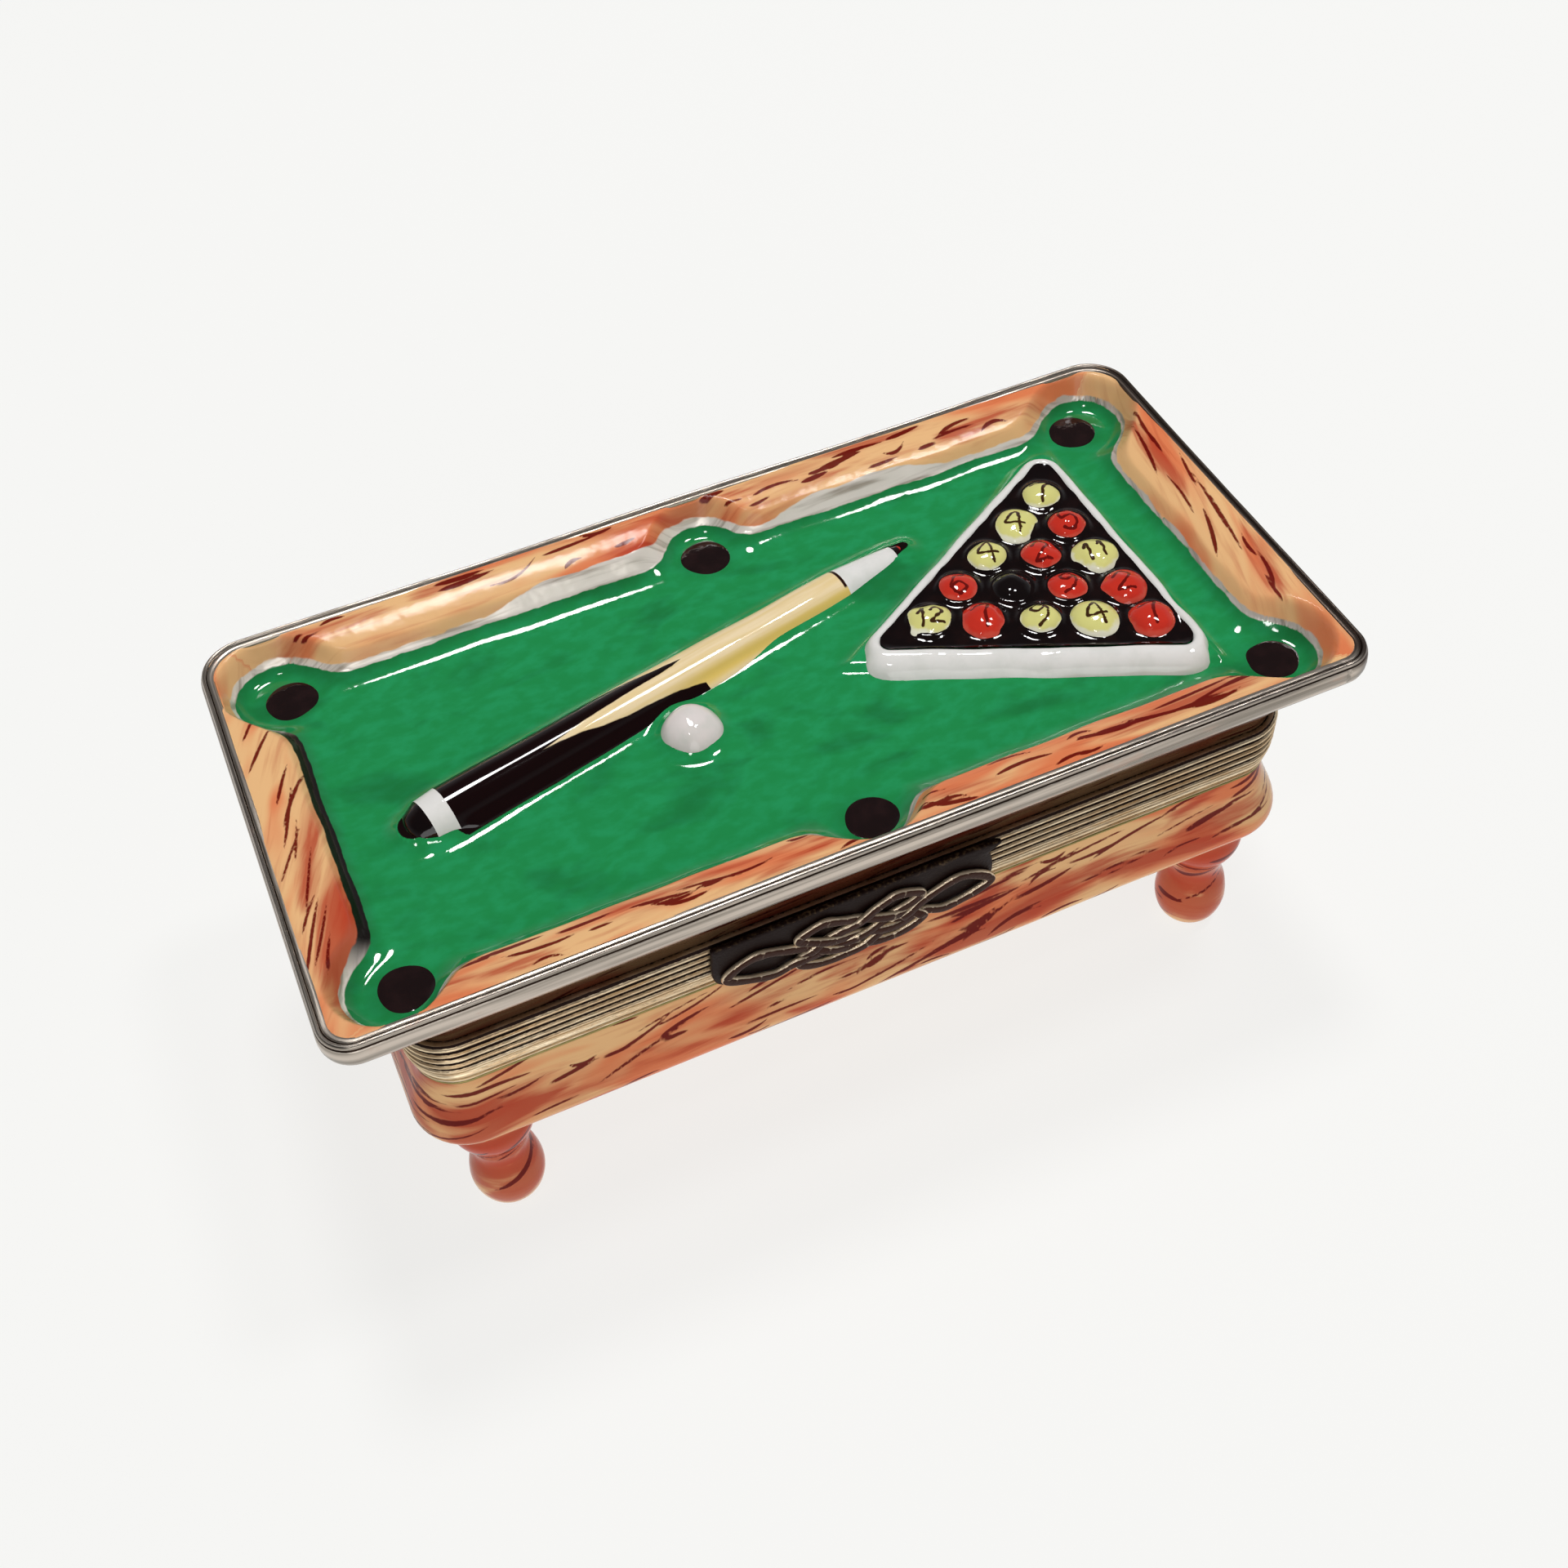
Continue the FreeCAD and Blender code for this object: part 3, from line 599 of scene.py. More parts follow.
def foot_marks(flat, seed):
    wash = scattered(seed, 22, (0, 3), (FOOT_AROUND, 15), 14, 14, (8, 15), (0.9, 1.7))
    ink = scattered(seed + 1, 18, (0, 1), (FOOT_AROUND, 15), 14, 12, (3, 9), (0.15, 0.4))
    return {"grain": closed_grain(flat, FOOT_AROUND), "ink": brush_marks(flat, ink, FOOT_AROUND),
            "wash": brush_marks(flat, wash, FOOT_AROUND) - 1.0}


def platinum_trim(x, y, s):
    """Field of the platinum strip along the cushions, below 0 inside it, and how far it is darkened there by
    painted dark reflection: most along the left cushion, less along the front and right ones.
    """
    left, right = smooth_step(-x, 34, 40.5), smooth_step(x, 34, 40.5)
    back = smooth_step(y, 8, 17) * (1 - left) * (1 - right)
    # Along the left cushion the strip is wider and painted near black: painted dark reflection.
    dark = left * (1 - smooth_step(np.abs(y), 12, 15.5))
    # Either side of the back middle pocket the strip is widened: partly the platinum paint, partly a painted
    # highlight along the back cushion.
    wide = smooth_step(-np.abs(np.abs(x - 3) - 14), -11, -3)
    half = 0.17 + (0.04 + 0.4 * wide) * back + 0.24 * dark - 0.02 * right
    half = half * (1 + 0.15 * wobble(np.stack([x, y], -1), 6.0, 7))
    dark_reflection = dark + 0.5 * (1 - left) * (1 - right) * (y < 0) + 0.35 * right
    return np.abs(s - half + 0.1 + 0.25 * dark) - half, dark_reflection


def cue_skirt(x, y):
    """Field of the butt's black paint where it runs onto the felt in front of the cue, below 0 inside it."""
    place = np.stack([x, y], -1) - CUE_START
    along, across = place @ CUE_ALONG, place @ CUE_ACROSS
    beside = smooth_step(along, 3.4, 4.4) * smooth_step(-along, -27, -14)
    reach = 1.2 * smooth_step(-across, 0.5, 2.0) * beside
    return cue_distance(x, y) + 0.5 - reach + 0.08 * wobble(place, 5.0, 8)


def make_lid_top(green, wood):
    reach_x, reach_y = INNER_X + 0.25, INNER_Y + 0.25
    xs = lines_between(-reach_x, reach_x, ((-47, -36), (-9, 9), (36, 47)), 0.2, 0.27)
    ys = lines_between(-reach_y, reach_y, ((-24, -14), (14, 24)), 0.2, 0.27)
    x, y = np.meshgrid(xs, ys)
    x, y = x.ravel(), y.ravel()
    faces = grid_faces(len(ys), len(xs))
    middle_x, middle_y = x[faces].mean(1), y[faces].mean(1)
    inside = rectangle_distance(middle_x, middle_y, INNER_X + 0.2, INNER_Y + 0.2, INNER_CORNER) < 0
    s = recess_distance(x, y)
    z = lid_height(x, y)
    normals = slope_normals(lid_height, x, y)
    corner, middle = pocket_distances(x, y)
    # This share deepens the green in and around the pockets: partly pooled glaze, partly painted shade.
    near = 1 - smooth_step(np.minimum(corner, middle), -3.0, 0.5)
    edge_of_face = s[faces].mean(1)
    # The strip's field, and its painted dark reflection, for both pieces.
    trim, dark_reflection = platinum_trim(x, y, s)
    shared = {"trim": trim, "dark_reflection": dark_reflection, "grain": rail_grain(x, y)}
    felt_fields = {"edge": s, "pocket": near, "skirt": cue_skirt(x, y), **shared}
    rail_fields = {**rail_marks(np.stack([x, y], -1)), **shared}
    for name, chosen, material, slot, fields in (
            ("felt_bed", edge_of_face < FELT_EDGE, green, "green_glaze", felt_fields),
            ("rails_painted", edge_of_face >= FELT_EDGE, wood, "wood_painted_glaze", rail_fields)):
        used, index = np.unique(faces[inside & chosen], return_inverse=True)
        attributes = {key: values[used] for key, values in fields.items()}
        make_piece(name, np.stack([x, y, z], -1)[used], index.reshape(-1, 4), material, "lid",
                   ("lid_shell",), attributes, normals=normals[used])


def make_pocket_discs(black):
    """Round patches of black enamel that follow the glazed surface."""
    for index, side in enumerate(("front_left", "front_middle", "front_right",
                                  "back_left", "back_middle", "back_right")):
        x0, y0 = centre_mm("pocket_" + side)[:2]
        angles = np.linspace(0, 2 * math.pi, 72, endpoint=False)
        ragged = 1 + 0.05 * wobble(np.stack([np.cos(angles), np.sin(angles)], -1), 1.6, 20 + index)
        rings = []
        for share in (1.0, 0.995, 0.97, 0.9, 0.78, 0.62, 0.45, 0.28, 0.12):
            r = POCKET_PATCH_RADIUS * share * ragged
            x, y = x0 + r * np.cos(angles), y0 + 0.97 * r * np.sin(angles)
            lift = 0.035 * min(1, (1 - share) / 0.06) - 0.015
            rings.append(np.stack([x, y, lid_height(x, y) + lift], -1))
        points, faces = capped(rings, bottom=False)
        make_piece("pocket_patch_" + side, points, faces, black, "lid", ("pocket_" + side,))


# ---- cue and cue ball ------------------------------------------------------
def cue_rings(start, end, count, around=44):
    """Half-round rings across the cue, closed by a flat underside below the felt."""
    rings, marks = [], []
    for t in np.linspace(start, end, count):
        radius = np.interp(t, CUE_STATIONS, CUE_RADII) + 0.05 * float(wobble([[t, 0.0]], 11.0, 31)[0])
        centre = CUE_START + CUE_ALONG * t + CUE_ACROSS * 0.08 * float(wobble([[t, 1.0]], 26.0, 32)[0])
        angles = np.linspace(-0.22, math.pi + 0.22, around)
        flare = 0.7 * smooth_step(np.degrees(angles), 146, 178) * smooth_step(t, 3.0, 6.0)
        across = radius * np.cos(angles) - flare * (1 - smooth_step(t, 30.0, 44.0))
        z = FELT - CUE_SINK + radius * np.sin(angles) + 0.3 * flare
        flat = centre + across[:, None] * CUE_ACROSS
        rings.append(np.column_stack([flat, z]))
        marks.append(np.column_stack([np.full(around, t), np.degrees(angles), np.zeros(around)]))
    return rings, marks


def make_cue(black, butt, white, red_tip):
    for name, start, end, count, material, slot, node in (
            ("cue_bumper_paint", 0.0, 2.15, 8, black, "black_enamel", "cue_bumper"),
            ("cue_ring_paint", 2.1, 4.15, 8, white, "white_glaze", "cue_ring"),
            ("cue_butt_paint", 4.1, 24.0, 60, butt, "black_enamel", "cue_butt"),
            ("cue_shaft_paint", 24.0, 46.95, 60, butt, "cream_glaze", "cue_shaft"),
            ("cue_ferrule_paint", 46.9, 53.35, 16, white, "white_glaze", "cue_ferrule"),
            ("cue_tip_paint", 53.3, 55.2, 8, red_tip, "black_enamel", "cue_tip")):
        rings, marks = cue_rings(start, end, count)
        if start == 0.0:
            for k, scale in ((0, 0.62), (1, 0.9)):
                middle = rings[k][:, :2].mean(0)
                rings[k][:, :2] = middle + (rings[k][:, :2] - middle) * scale
                rings[k][:, 2] = FELT + (rings[k][:, 2] - FELT) * scale
        first, last = start == 0.0, end == CUE_STATIONS[-1]
        points, faces = capped(rings, first, last)
        place = np.concatenate(marks + [marks[0][:1]] * first + [marks[-1][:1]] * last)
        make_piece(name, points, faces, material, "lid", (node,), {"cue": place})


def cue_paint():
    """Cream shaft and black butt, whose two points run up the cue's sides."""
    paint = Paint("cue_paint", **GLAZE)
    place = paint.add("ShaderNodeSeparateXYZ", {0: paint.attribute("cue", "Vector")}, "X")
    angle = paint.add("ShaderNodeSeparateXYZ", {0: paint.attribute("cue", "Vector")}, "Y")
    ragged = paint.centred(paint.noise(paint.place, 0.5, 2.0), 5.0)
    angle = paint.plus(angle, ragged)
    low, high = point_edges(paint, place)
    cream_zone = paint.times(paint.step(paint.minus(angle, low), 0.0, 2.5),
                            paint.step(paint.minus(high, angle), 0.0, 2.5))
    sliver_edge = paint.minus(84.0, paint.times(paint.minus(30.2, place), 3.6))
    sliver = paint.times(paint.step(place, 18.0, 19.0), paint.math("LESS_THAN", angle, sliver_edge))
    cream_zone = paint.math("MAXIMUM", cream_zone, sliver)
    streak = paint.noise(paint.stretch(paint.attribute("cue", "Vector"), (0.12, 0.07, 1)), 1.0, 2.0)
    warm = paint.step(paint.math("ABSOLUTE", paint.minus(angle, 148.0)), 26.0, 4.0)
    cream = paint.mix(paint.step(streak, 0.3, 0.7), srgb(240, 218, 178), srgb(232, 206, 152))
    cream = paint.mix(paint.times(warm, paint.step(place, 22.0, 31.0)), cream, srgb(226, 194, 104))
    colour = paint.mix(cream_zone, srgb(18, 3, 3), cream)
    joint = paint.step(paint.math("ABSOLUTE", paint.minus(place, 46.75)), 0.2, 0.12)
    line = paint.times(joint, paint.step(angle, 135.0, 128.0))
    paint.set("Base Color", paint.mix(line, colour, srgb(40, 14, 8)))
    return paint.material


def point_edges(paint, place):
    """Angles round the cue between which it is cream, for a distance along it."""
    outputs = []
    for key in (((13.0, 112), (18.0, 99), (23.0, 93), (28.0, 87), (30.2, 72), (30.6, -30), (56, -30)),
                ((13.0, 111), (15.5, 114), (17.5, 119), (19.5, 130), (22.0, 137), (26.7, 144), (29.9, 158),
                 (30.2, 220), (56, 220))):
        total = None
        for (t0, a0), (t1, a1) in zip(key[:-1], key[1:]):
            share = paint.add("ShaderNodeMapRange", {"Value": place, "From Min": t0, "From Max": t1,
                                                     "To Min": 0.0, "To Max": float(a1 - a0)}, 0)
            total = share if total is None else paint.plus(total, share)
        outputs.append(paint.plus(total, float(key[0][1])))
    return outputs


def tip_paint():
    paint = Paint("tip_paint", **GLAZE)
    place = paint.add("ShaderNodeSeparateXYZ", {0: paint.attribute("cue", "Vector")}, "X")
    paint.set("Base Color", paint.mix(paint.step(place, 53.9, 54.1), srgb(20, 6, 6), srgb(190, 50, 36)))
    return paint.material


def dome(centre, foot, height, rings=30, around=96, lumps=0.06, seed=0, ragged=0.04):
    """Rings of a lumpy cap, from just below its foot to its crown."""
    radius = (foot ** 2 + height ** 2) / (2 * height)
    steepest = math.acos(1 - height / radius) if height < radius else math.pi / 2
    angles = np.linspace(0, 2 * math.pi, around, endpoint=False)
    stack = []
    for share in np.linspace(1, 1 / rings, rings):
        tilt = steepest * share
        direction = np.stack([np.sin(tilt) * np.cos(angles), np.sin(tilt) * np.sin(angles),
                              np.full(around, np.cos(tilt))], -1)
        grow = 1 + lumps * wobble(direction, 1.5, seed) + ragged * wobble(direction, 0.7, seed + 1)
        stack.append(direction * (radius * grow)[:, None] + [0, 0, height - radius])
    stack.insert(0, stack[0] * [1.02, 1.02, 1] - [0, 0, 0.25])
    return [ring + centre for ring in stack]


def make_cue_ball(white):
    centre = np.array([CUE_BALL[0], CUE_BALL[1], FELT])
    rings = dome(centre, CUE_BALL_FOOT, CUE_BALL_HEIGHT, seed=41, lumps=0.03, ragged=0.012)
    points, faces = capped(rings, bottom=False)
    make_piece("cue_ball_glazed", points, faces, white, "lid", ("cue_ball",))


# ---- rack and balls --------------------------------------------------------
def triangle_ring(growth, spacing=0.3, arc_steps=10):
    """Closed outline of the rack's inner edge moved outwards by growth, with a fixed number of points."""
    sides = np.linalg.norm(np.roll(RACK_CORNERS, -1, 0) - np.roll(RACK_CORNERS, -2, 0), axis=1)
    centre = (RACK_CORNERS * sides[:, None]).sum(0) / sides.sum()
    a, b = RACK_CORNERS[1] - RACK_CORNERS[0], RACK_CORNERS[2] - RACK_CORNERS[0]
    inradius = abs(a[0] * b[1] - a[1] * b[0]) / sides.sum()
    hubs = centre + (RACK_CORNERS - centre) * (1 - RACK_ROUNDING / inradius)
    hubs = hubs[::-1]
    radius = RACK_ROUNDING + growth
    points = []
    for i in range(3):
        before, here, after = hubs[i - 1], hubs[i], hubs[(i + 1) % 3]
        start = math.atan2(here[1] - before[1], here[0] - before[0]) - math.pi / 2
        turn = (math.atan2(after[1] - here[1], after[0] - here[0]) - math.pi / 2 - start) % (2 * math.pi)
        angles = start + np.linspace(0, turn, arc_steps + 1)
        points.append(here + radius * np.stack([np.cos(angles), np.sin(angles)], -1))
        side = after - here
        count = int(sides.mean() / spacing)
        share = np.linspace(0, 1, count + 1)[1:-1, None]
        normal = np.array([side[1], -side[0]]) / np.linalg.norm(side)
        points.append(here + normal * radius + side * share)
    return np.concatenate(points), centre


def make_rack(white, black):
    profile = ((0.02, BED - 0.25), (0.1, BED - 0.02), (0.22, RACK_TOP - 0.12), (0.38, RACK_TOP - 0.02),
               (0.58, RACK_TOP), (0.8, RACK_TOP - 0.06), (1.0, RACK_TOP - 0.24), (1.18, RACK_TOP - 0.5),
               (1.34, RACK_TOP - 0.8), (1.48, RACK_TOP - 1.1), (1.62, FELT + 0.15), (1.75, FELT - 0.1))
    rings = []
    for growth, z in profile:
        ring, _ = triangle_ring(growth)
        outward = (ring - triangle_ring(growth - 0.5)[0]) / 0.5
        facing = smooth_step(outward @ RACK_FRONT, 0.3, 0.95)
        spread = RACK_FRONT_SPREAD * facing * smooth_step(growth, 0.5, 1.6) + 0.1 * wobble(ring, 7.0, 51)
        level = z + 0.08 * wobble(ring, 9.0, 52) * (z > FELT + 0.2)
        rings.append(np.column_stack([ring + outward * spread[:, None], level]))
    points, faces = capped(rings, False, False)
    faces = [tuple(reversed(f)) for f in faces]
    make_piece("rack_wall", points, faces, white, "lid", ("rack_frame",))

    outer, centre = triangle_ring(0.12)
    outer = outer + 0.06 * wobble(outer, 3.0, 53)[:, None] * (outer - centre) / 8.0
    balls = np.array([centre_mm(name)[:2] for name in BALLS])
    rings = []
    for share in np.linspace(1, 0.02, 66):
        ring = centre + (outer - centre) * share
        away = np.linalg.norm(ring[:, None] - balls[None], axis=-1).min(1) - BALL_FOOT
        z = BED + meniscus(away, 0.6, 0.16) + meniscus(-triangle_distance(*ring.T), 0.5, 0.12) + 0.02
        z += 0.02 * wobble(ring, 4.0, 54)
        rings.append(np.column_stack([ring, z]))
    points, faces = capped(rings, False)
    make_piece("rack_bed_enamel", points, faces, black, "lid", ("rack_bed",))


DIGITS = {
    "1": [[(-0.15, 0.25), (0.1, 0.55), (0.0, -0.6)]],
    "2": [[(-0.3, 0.3), (0.0, 0.58), (0.32, 0.28), (0.0, -0.15), (-0.3, -0.5), (0.35, -0.5)]],
    "4": [[(0.2, -0.6), (0.12, 0.55), (-0.38, -0.1), (0.4, -0.15)]],
    "5": [[(0.35, 0.55), (-0.2, 0.5), (-0.25, 0.08), (0.15, 0.12), (0.3, -0.25), (0.0, -0.55), (-0.3, -0.4)]],
    "6": [[(0.3, 0.5), (-0.15, 0.3), (-0.3, -0.25), (0.0, -0.55), (0.3, -0.25), (0.05, 0.0), (-0.25, -0.15)]],
    "7": [[(-0.35, 0.45), (0.35, 0.5), (0.05, 0.0), (-0.12, -0.6)]],
    "9": [[(0.3, 0.3), (0.0, 0.55), (-0.3, 0.3), (-0.05, 0.05), (0.3, 0.3), (0.25, -0.25), (-0.15, -0.55)]],
}
BALL_NUMBERS = ("12", "6", "7", "4", "", "9", "4", "2", "9", "4", "7", "5", "11", "2", "7")
BALL_COLOURS = "YRRYKYYRRYYRYRR"
SCREEN_RIGHT = np.array([0.885, -0.466])


def ink_distance(points, centre, text, seed):
    """Distance of each point, seen from above, to the painted numeral's strokes."""
    rng = np.random.default_rng(seed)
    right = SCREEN_RIGHT
    toward = np.array([right[1], -right[0]])
    local = np.column_stack([(points[:, :2] - centre) @ right, (points[:, :2] - centre) @ -toward])
    turn = rng.uniform(0.0, 0.5)
    best = np.full(len(points), 9.0)
    size = 2.3 if len(text) == 1 else 1.75
    for place, digit in enumerate(text):
        shift = (place - (len(text) - 1) / 2) * 1.35
        for stroke in DIGITS[digit]:
            path = smooth_path(stroke, 40) * size + [shift, 0.1]
            path = path @ np.array([[math.cos(turn), math.sin(turn)], [-math.sin(turn), math.cos(turn)]])
            path += 0.06 * np.stack([wobble(path, 0.9, seed), wobble(path, 0.9, seed + 1)], -1)
            gap = np.linalg.norm(local[:, None] - path[None], axis=-1)
            thick = 0.1 + 0.09 * (0.5 + 0.5 * wobble(path, 0.8, seed + 2))
            best = np.minimum(best, (gap / thick).min(1))
    return best


def make_balls(paints):
    for index, name in enumerate(BALLS):
        seed = 60 + 7 * index
        rng = np.random.default_rng(seed)
        centre = np.array([*centre_mm(name)[:2], BED])
        big = index + 1 in (1, 3, 7, 10, 13, 14, 15)
        foot = BALL_FOOT * (1.06 if big else 0.95)
        rings = dome(centre, foot, BALL_HEIGHT * rng.uniform(0.95, 1.15), 34, 112, 0.05, seed, 0.02)
        points, faces = capped(rings, bottom=False)
        colour = BALL_COLOURS[index]
        low = (points[:, 2] - BED) / BALL_HEIGHT
        ahead = ((points[:, :2] - centre[:2]) @ np.array([-0.45, -0.9])) / foot
        ink = ink_distance(points, centre[:2], BALL_NUMBERS[index], seed)
        make_piece(name + "_enamel", points, faces, paints[colour], "lid", (name,), {
            "height": low - 0.25 * ahead, "ink": ink})


def ball_paint(name, colour, low_colour, ink_colour):
    paint = Paint(name, **GLAZE)
    ragged = paint.centred(paint.noise(paint.place, 0.9, 2.0), 0.7)
    level = paint.plus(paint.attribute("height"), ragged)
    body = paint.mix(paint.step(level, 0.1, 0.42), low_colour, colour)
    ink = paint.step(paint.attribute("ink"), 1.25, 0.85)
    paint.set("Base Color", paint.mix(ink, body, ink_colour))
    paint.bump(paint.noise(paint.place, 0.9, 2.0), 0.05)
    return paint.material


# ---- round-cornered shells -------------------------------------------------
def unrolled(ring, z):
    """Flat places of a ring on a shell: distance along it from the middle of its back, and height."""
    u = arc_length(ring)
    start = u[np.argmin(np.abs(ring[:, 0]) - ring[:, 1])]
    return np.column_stack([(u - start) % UNROLLED, z])


def shell(levels, wave=0.0, seed=0):
    """Rings through (z, half_x, half_y, corner) levels, with their unrolled places."""
    rings, flat = [], []
    for z, half_x, half_y, corner in levels:
        ring = rounded_ring(half_x, half_y, (corner,) * 4, 0.4)
        level = np.full(len(ring), z) + wave * wobble(ring, 22.0, seed)
        rings.append(np.column_stack([ring, level]))
        flat.append(unrolled(rounded_ring(MOUNT_X, MOUNT_Y, (MOUNT_CORNER,) * 4, 0.4), level))
    return rings, np.concatenate(flat)


def dense(levels, per_step=3):
    """More levels along a smooth curve through the given ones."""
    return [tuple(row) for row in smooth_path(levels, (len(levels) - 1) * per_step + 1)]


def closed_loop(rings):
    """Faces that also join the last ring back to the first."""
    around = len(rings[0])
    return grid_faces(len(rings) + 1, around, True) % (len(rings) * around)


def make_band(material):
    """Platinum moulding: inner flat, bead between two fine grooves, and a lower flat that turns under."""
    profile = ((1.32, RIM_TOP - 0.3, 0), (1.25, RIM_TOP - 0.14, 0), (1.12, RIM_TOP - 0.08, 0),
               (0.82, RIM_TOP - 0.08, 0), (0.74, RIM_TOP - 0.11, 0), (0.7, RIM_TOP - 0.2, 1),
               (0.64, RIM_TOP - 0.22, 1), (0.6, RIM_TOP - 0.12, 0), (0.5, RIM_TOP - 0.02, 0),
               (0.36, RIM_TOP - 0.04, 0), (0.26, RIM_TOP - 0.14, 0), (0.2, RIM_TOP - 0.3, 0),
               (0.24, RIM_TOP - 0.38, 1), (0.2, RIM_TOP - 0.46, 1), (0.1, RIM_TOP - 0.56, 0),
               (0.04, RIM_TOP - 0.9, 0), (0.0, RIM_TOP - 1.4, 0), (0.03, RIM_TOP - 1.9, 0),
               (0.14, RIM_TOP - 2.3, 0), (0.4, RIM_BOTTOM + 0.1, 0), (0.9, RIM_BOTTOM, 0),
               (1.32, RIM_BOTTOM + 0.1, 0))
    rings, grooves, flat = [], [], []
    for index, (inset, z, groove) in enumerate(profile):
        radii = (3.0 - inset * 0.8, 4.2 - inset * 0.8, 4.2 - inset * 0.8, 3.0 - inset * 0.8)
        ring = rounded_ring(HALF_X - inset, HALF_Y - inset, radii)
        sway = 0.1 * wobble(ring, 30.0, 71) + 0.015 * wobble(ring, 6.0, 72 + index)
        rings.append(np.column_stack([ring, z + sway]))
        grooves.append(np.full(len(ring), float(groove)))
        flat.append(unrolled(rounded_ring(HALF_X, HALF_Y, (4.0,) * 4), np.full(len(ring), index * 0.25)))
    points = np.concatenate(rings)
    # The band's last field darkens its right end: painted dark reflection.
    make_piece("rim_band_moulding", points, closed_loop(rings)[:, ::-1], material, "lid",
               ("rim_band",), {"groove": np.concatenate(grooves),
                               "grain": closed_grain(np.concatenate(flat), UNROLLED),
                               "dark_reflection": 0.8 * smooth_step(points[:, 0], 44.5, 46.3)})


def rib_profile(bottom, top, edges, crest, inset_bottom, inset_top):
    """(z, inset, groove) up a ribbed face: between each pair of edges, given as shares of its height, a
    rounded crest that fills the given share of the gap, with a dark groove at either side."""
    gap, rows = (1 - crest) / 2, []
    flank = gap + 0.2 * crest
    for low, high in zip(edges[:-1], edges[1:]):
        for share, depth, groove in ((0.0, 0.5, 1.0), (gap, 0.45, 1.0), (flank, 0.12, 0.0),
                                     (0.5, 0.0, 0.0), (1 - flank, 0.12, 0.0), (1 - gap, 0.45, 1.0)):
            level = low + (high - low) * share
            rows.append((bottom + (top - bottom) * level,
                         inset_bottom + (inset_top - inset_bottom) * level + depth, groove))
    rows += [(top, inset_top + 0.3, 1.0), (top, inset_top + 0.42, 0.0)]
    return rows


def make_mount(name, node, body, material, bottom, top, edges, crest, inset_bottom, inset_top,
               lip_at_top, seed):
    """Ribbed brass rim whose lip turns inwards at its top or at its bottom."""
    rows = rib_profile(bottom, top, edges, crest, inset_bottom, inset_top)
    inner = 3.9 + max(inset_bottom, inset_top)
    if lip_at_top:
        rows += [(top, inner, 0.0), (top - 0.6, inner, 0.0), (top - 0.6, 1.5, 0.5)]
        rows.insert(0, (bottom, 1.5, 0.5))
    else:
        rows += [(top, 0.9, 0.5)]
        rows = [(bottom + 0.6, 0.9, 0.5), (bottom + 0.6, inner, 0.0), (bottom, inner, 0.0),
                (bottom, inset_bottom + 0.62, 0.0)] + rows
    rings, grooves = [], []
    for index, (z, inset, groove) in enumerate(rows):
        outer = inset < 1.0 + max(inset_bottom, inset_top)
        corner = max(MOUNT_CORNER - inset, 2.5)
        ring = rounded_ring(MOUNT_X - inset, MOUNT_Y - inset, (corner,) * 4)
        sway = (0.05 * wobble(ring, 12.0, seed + index // 4)) * outer
        level = z + np.clip(sway, bottom - z, top - z)
        rings.append(np.column_stack([ring, level]))
        grooves.append(np.full(len(ring), groove))
    points = np.concatenate(rings)
    olive = (1 - smooth_step(points[:, 2], bottom + 0.5, bottom + 0.7)) * lip_at_top
    make_piece(name, points, closed_loop(rings), material, body, (node,),
               {"groove": np.concatenate(grooves), "olive": olive})


def make_body(wood, white):
    """Painted tray and its glazed white inside, as one closed skin."""
    fx, fy = BODY_HIGH[0], BODY_HIGH[1]
    low, waist = BODY_LOW[2], LOWER_LOW
    outside = dense([
        (low, fx - 2.6, fy - 2.6, 3.8), (low + 0.12, fx - 1.6, fy - 1.6, 4.4),
        (low + 0.6, fx - 0.7, fy - 0.7, 4.9), (low + 1.3, fx - 0.18, fy - 0.18, 5.3),
        (low + 2.1, fx, fy, 5.4), (low + 3.3, fx - 0.25, fy - 0.25, 5.2),
        (low + 5.4, fx - 1.05, fy - 1.05, 4.8), (low + 6.9, fx - 1.6, fy - 1.5, 4.5),
        (waist + 0.1, MOUNT_X - 0.75, MOUNT_Y - 0.75, 4.3)], 8)
    rim = [(z, MOUNT_X - 1.5, MOUNT_Y - 1.5, 3.0) for z in (waist + 0.12, BODY_HIGH[2])]
    mx, my, floor = MOUNT_X - 4.5, MOUNT_Y - 4.5, low + 3.0
    inside = [(BODY_HIGH[2], mx, my, 2.5), (BODY_HIGH[2] - 0.1, mx, my, 2.5)]
    inside += dense([(floor + 2.2, mx, my, 2.5), (floor + 0.9, mx - 0.15, my - 0.15, 2.6),
                     (floor + 0.25, mx - 0.6, my - 0.6, 2.8), (floor, mx - 1.6, my - 1.6, 3.0)])
    rings, flat = shell(outside + rim + inside, 0.06, 81)
    for ring in rings[len(outside):]:
        ring[:, 2] -= 0.06 * wobble(ring[:, :2], 22.0, 81)
    points, faces = capped(rings)
    flat = np.vstack([flat, flat[0], flat[-1]])
    around = len(rings[0])
    painted = (len(outside) - 1) * around
    count = (len(rings) - 1) * around
    inner = [k for k in range(len(faces)) if painted <= k < count or k >= count + around]
    which = np.isin(np.arange(len(faces)), inner).astype(int)
    make_piece("body_porcelain", points, faces, (wood, white), "base", ("body_shell",),
               body_marks(flat, low), which)


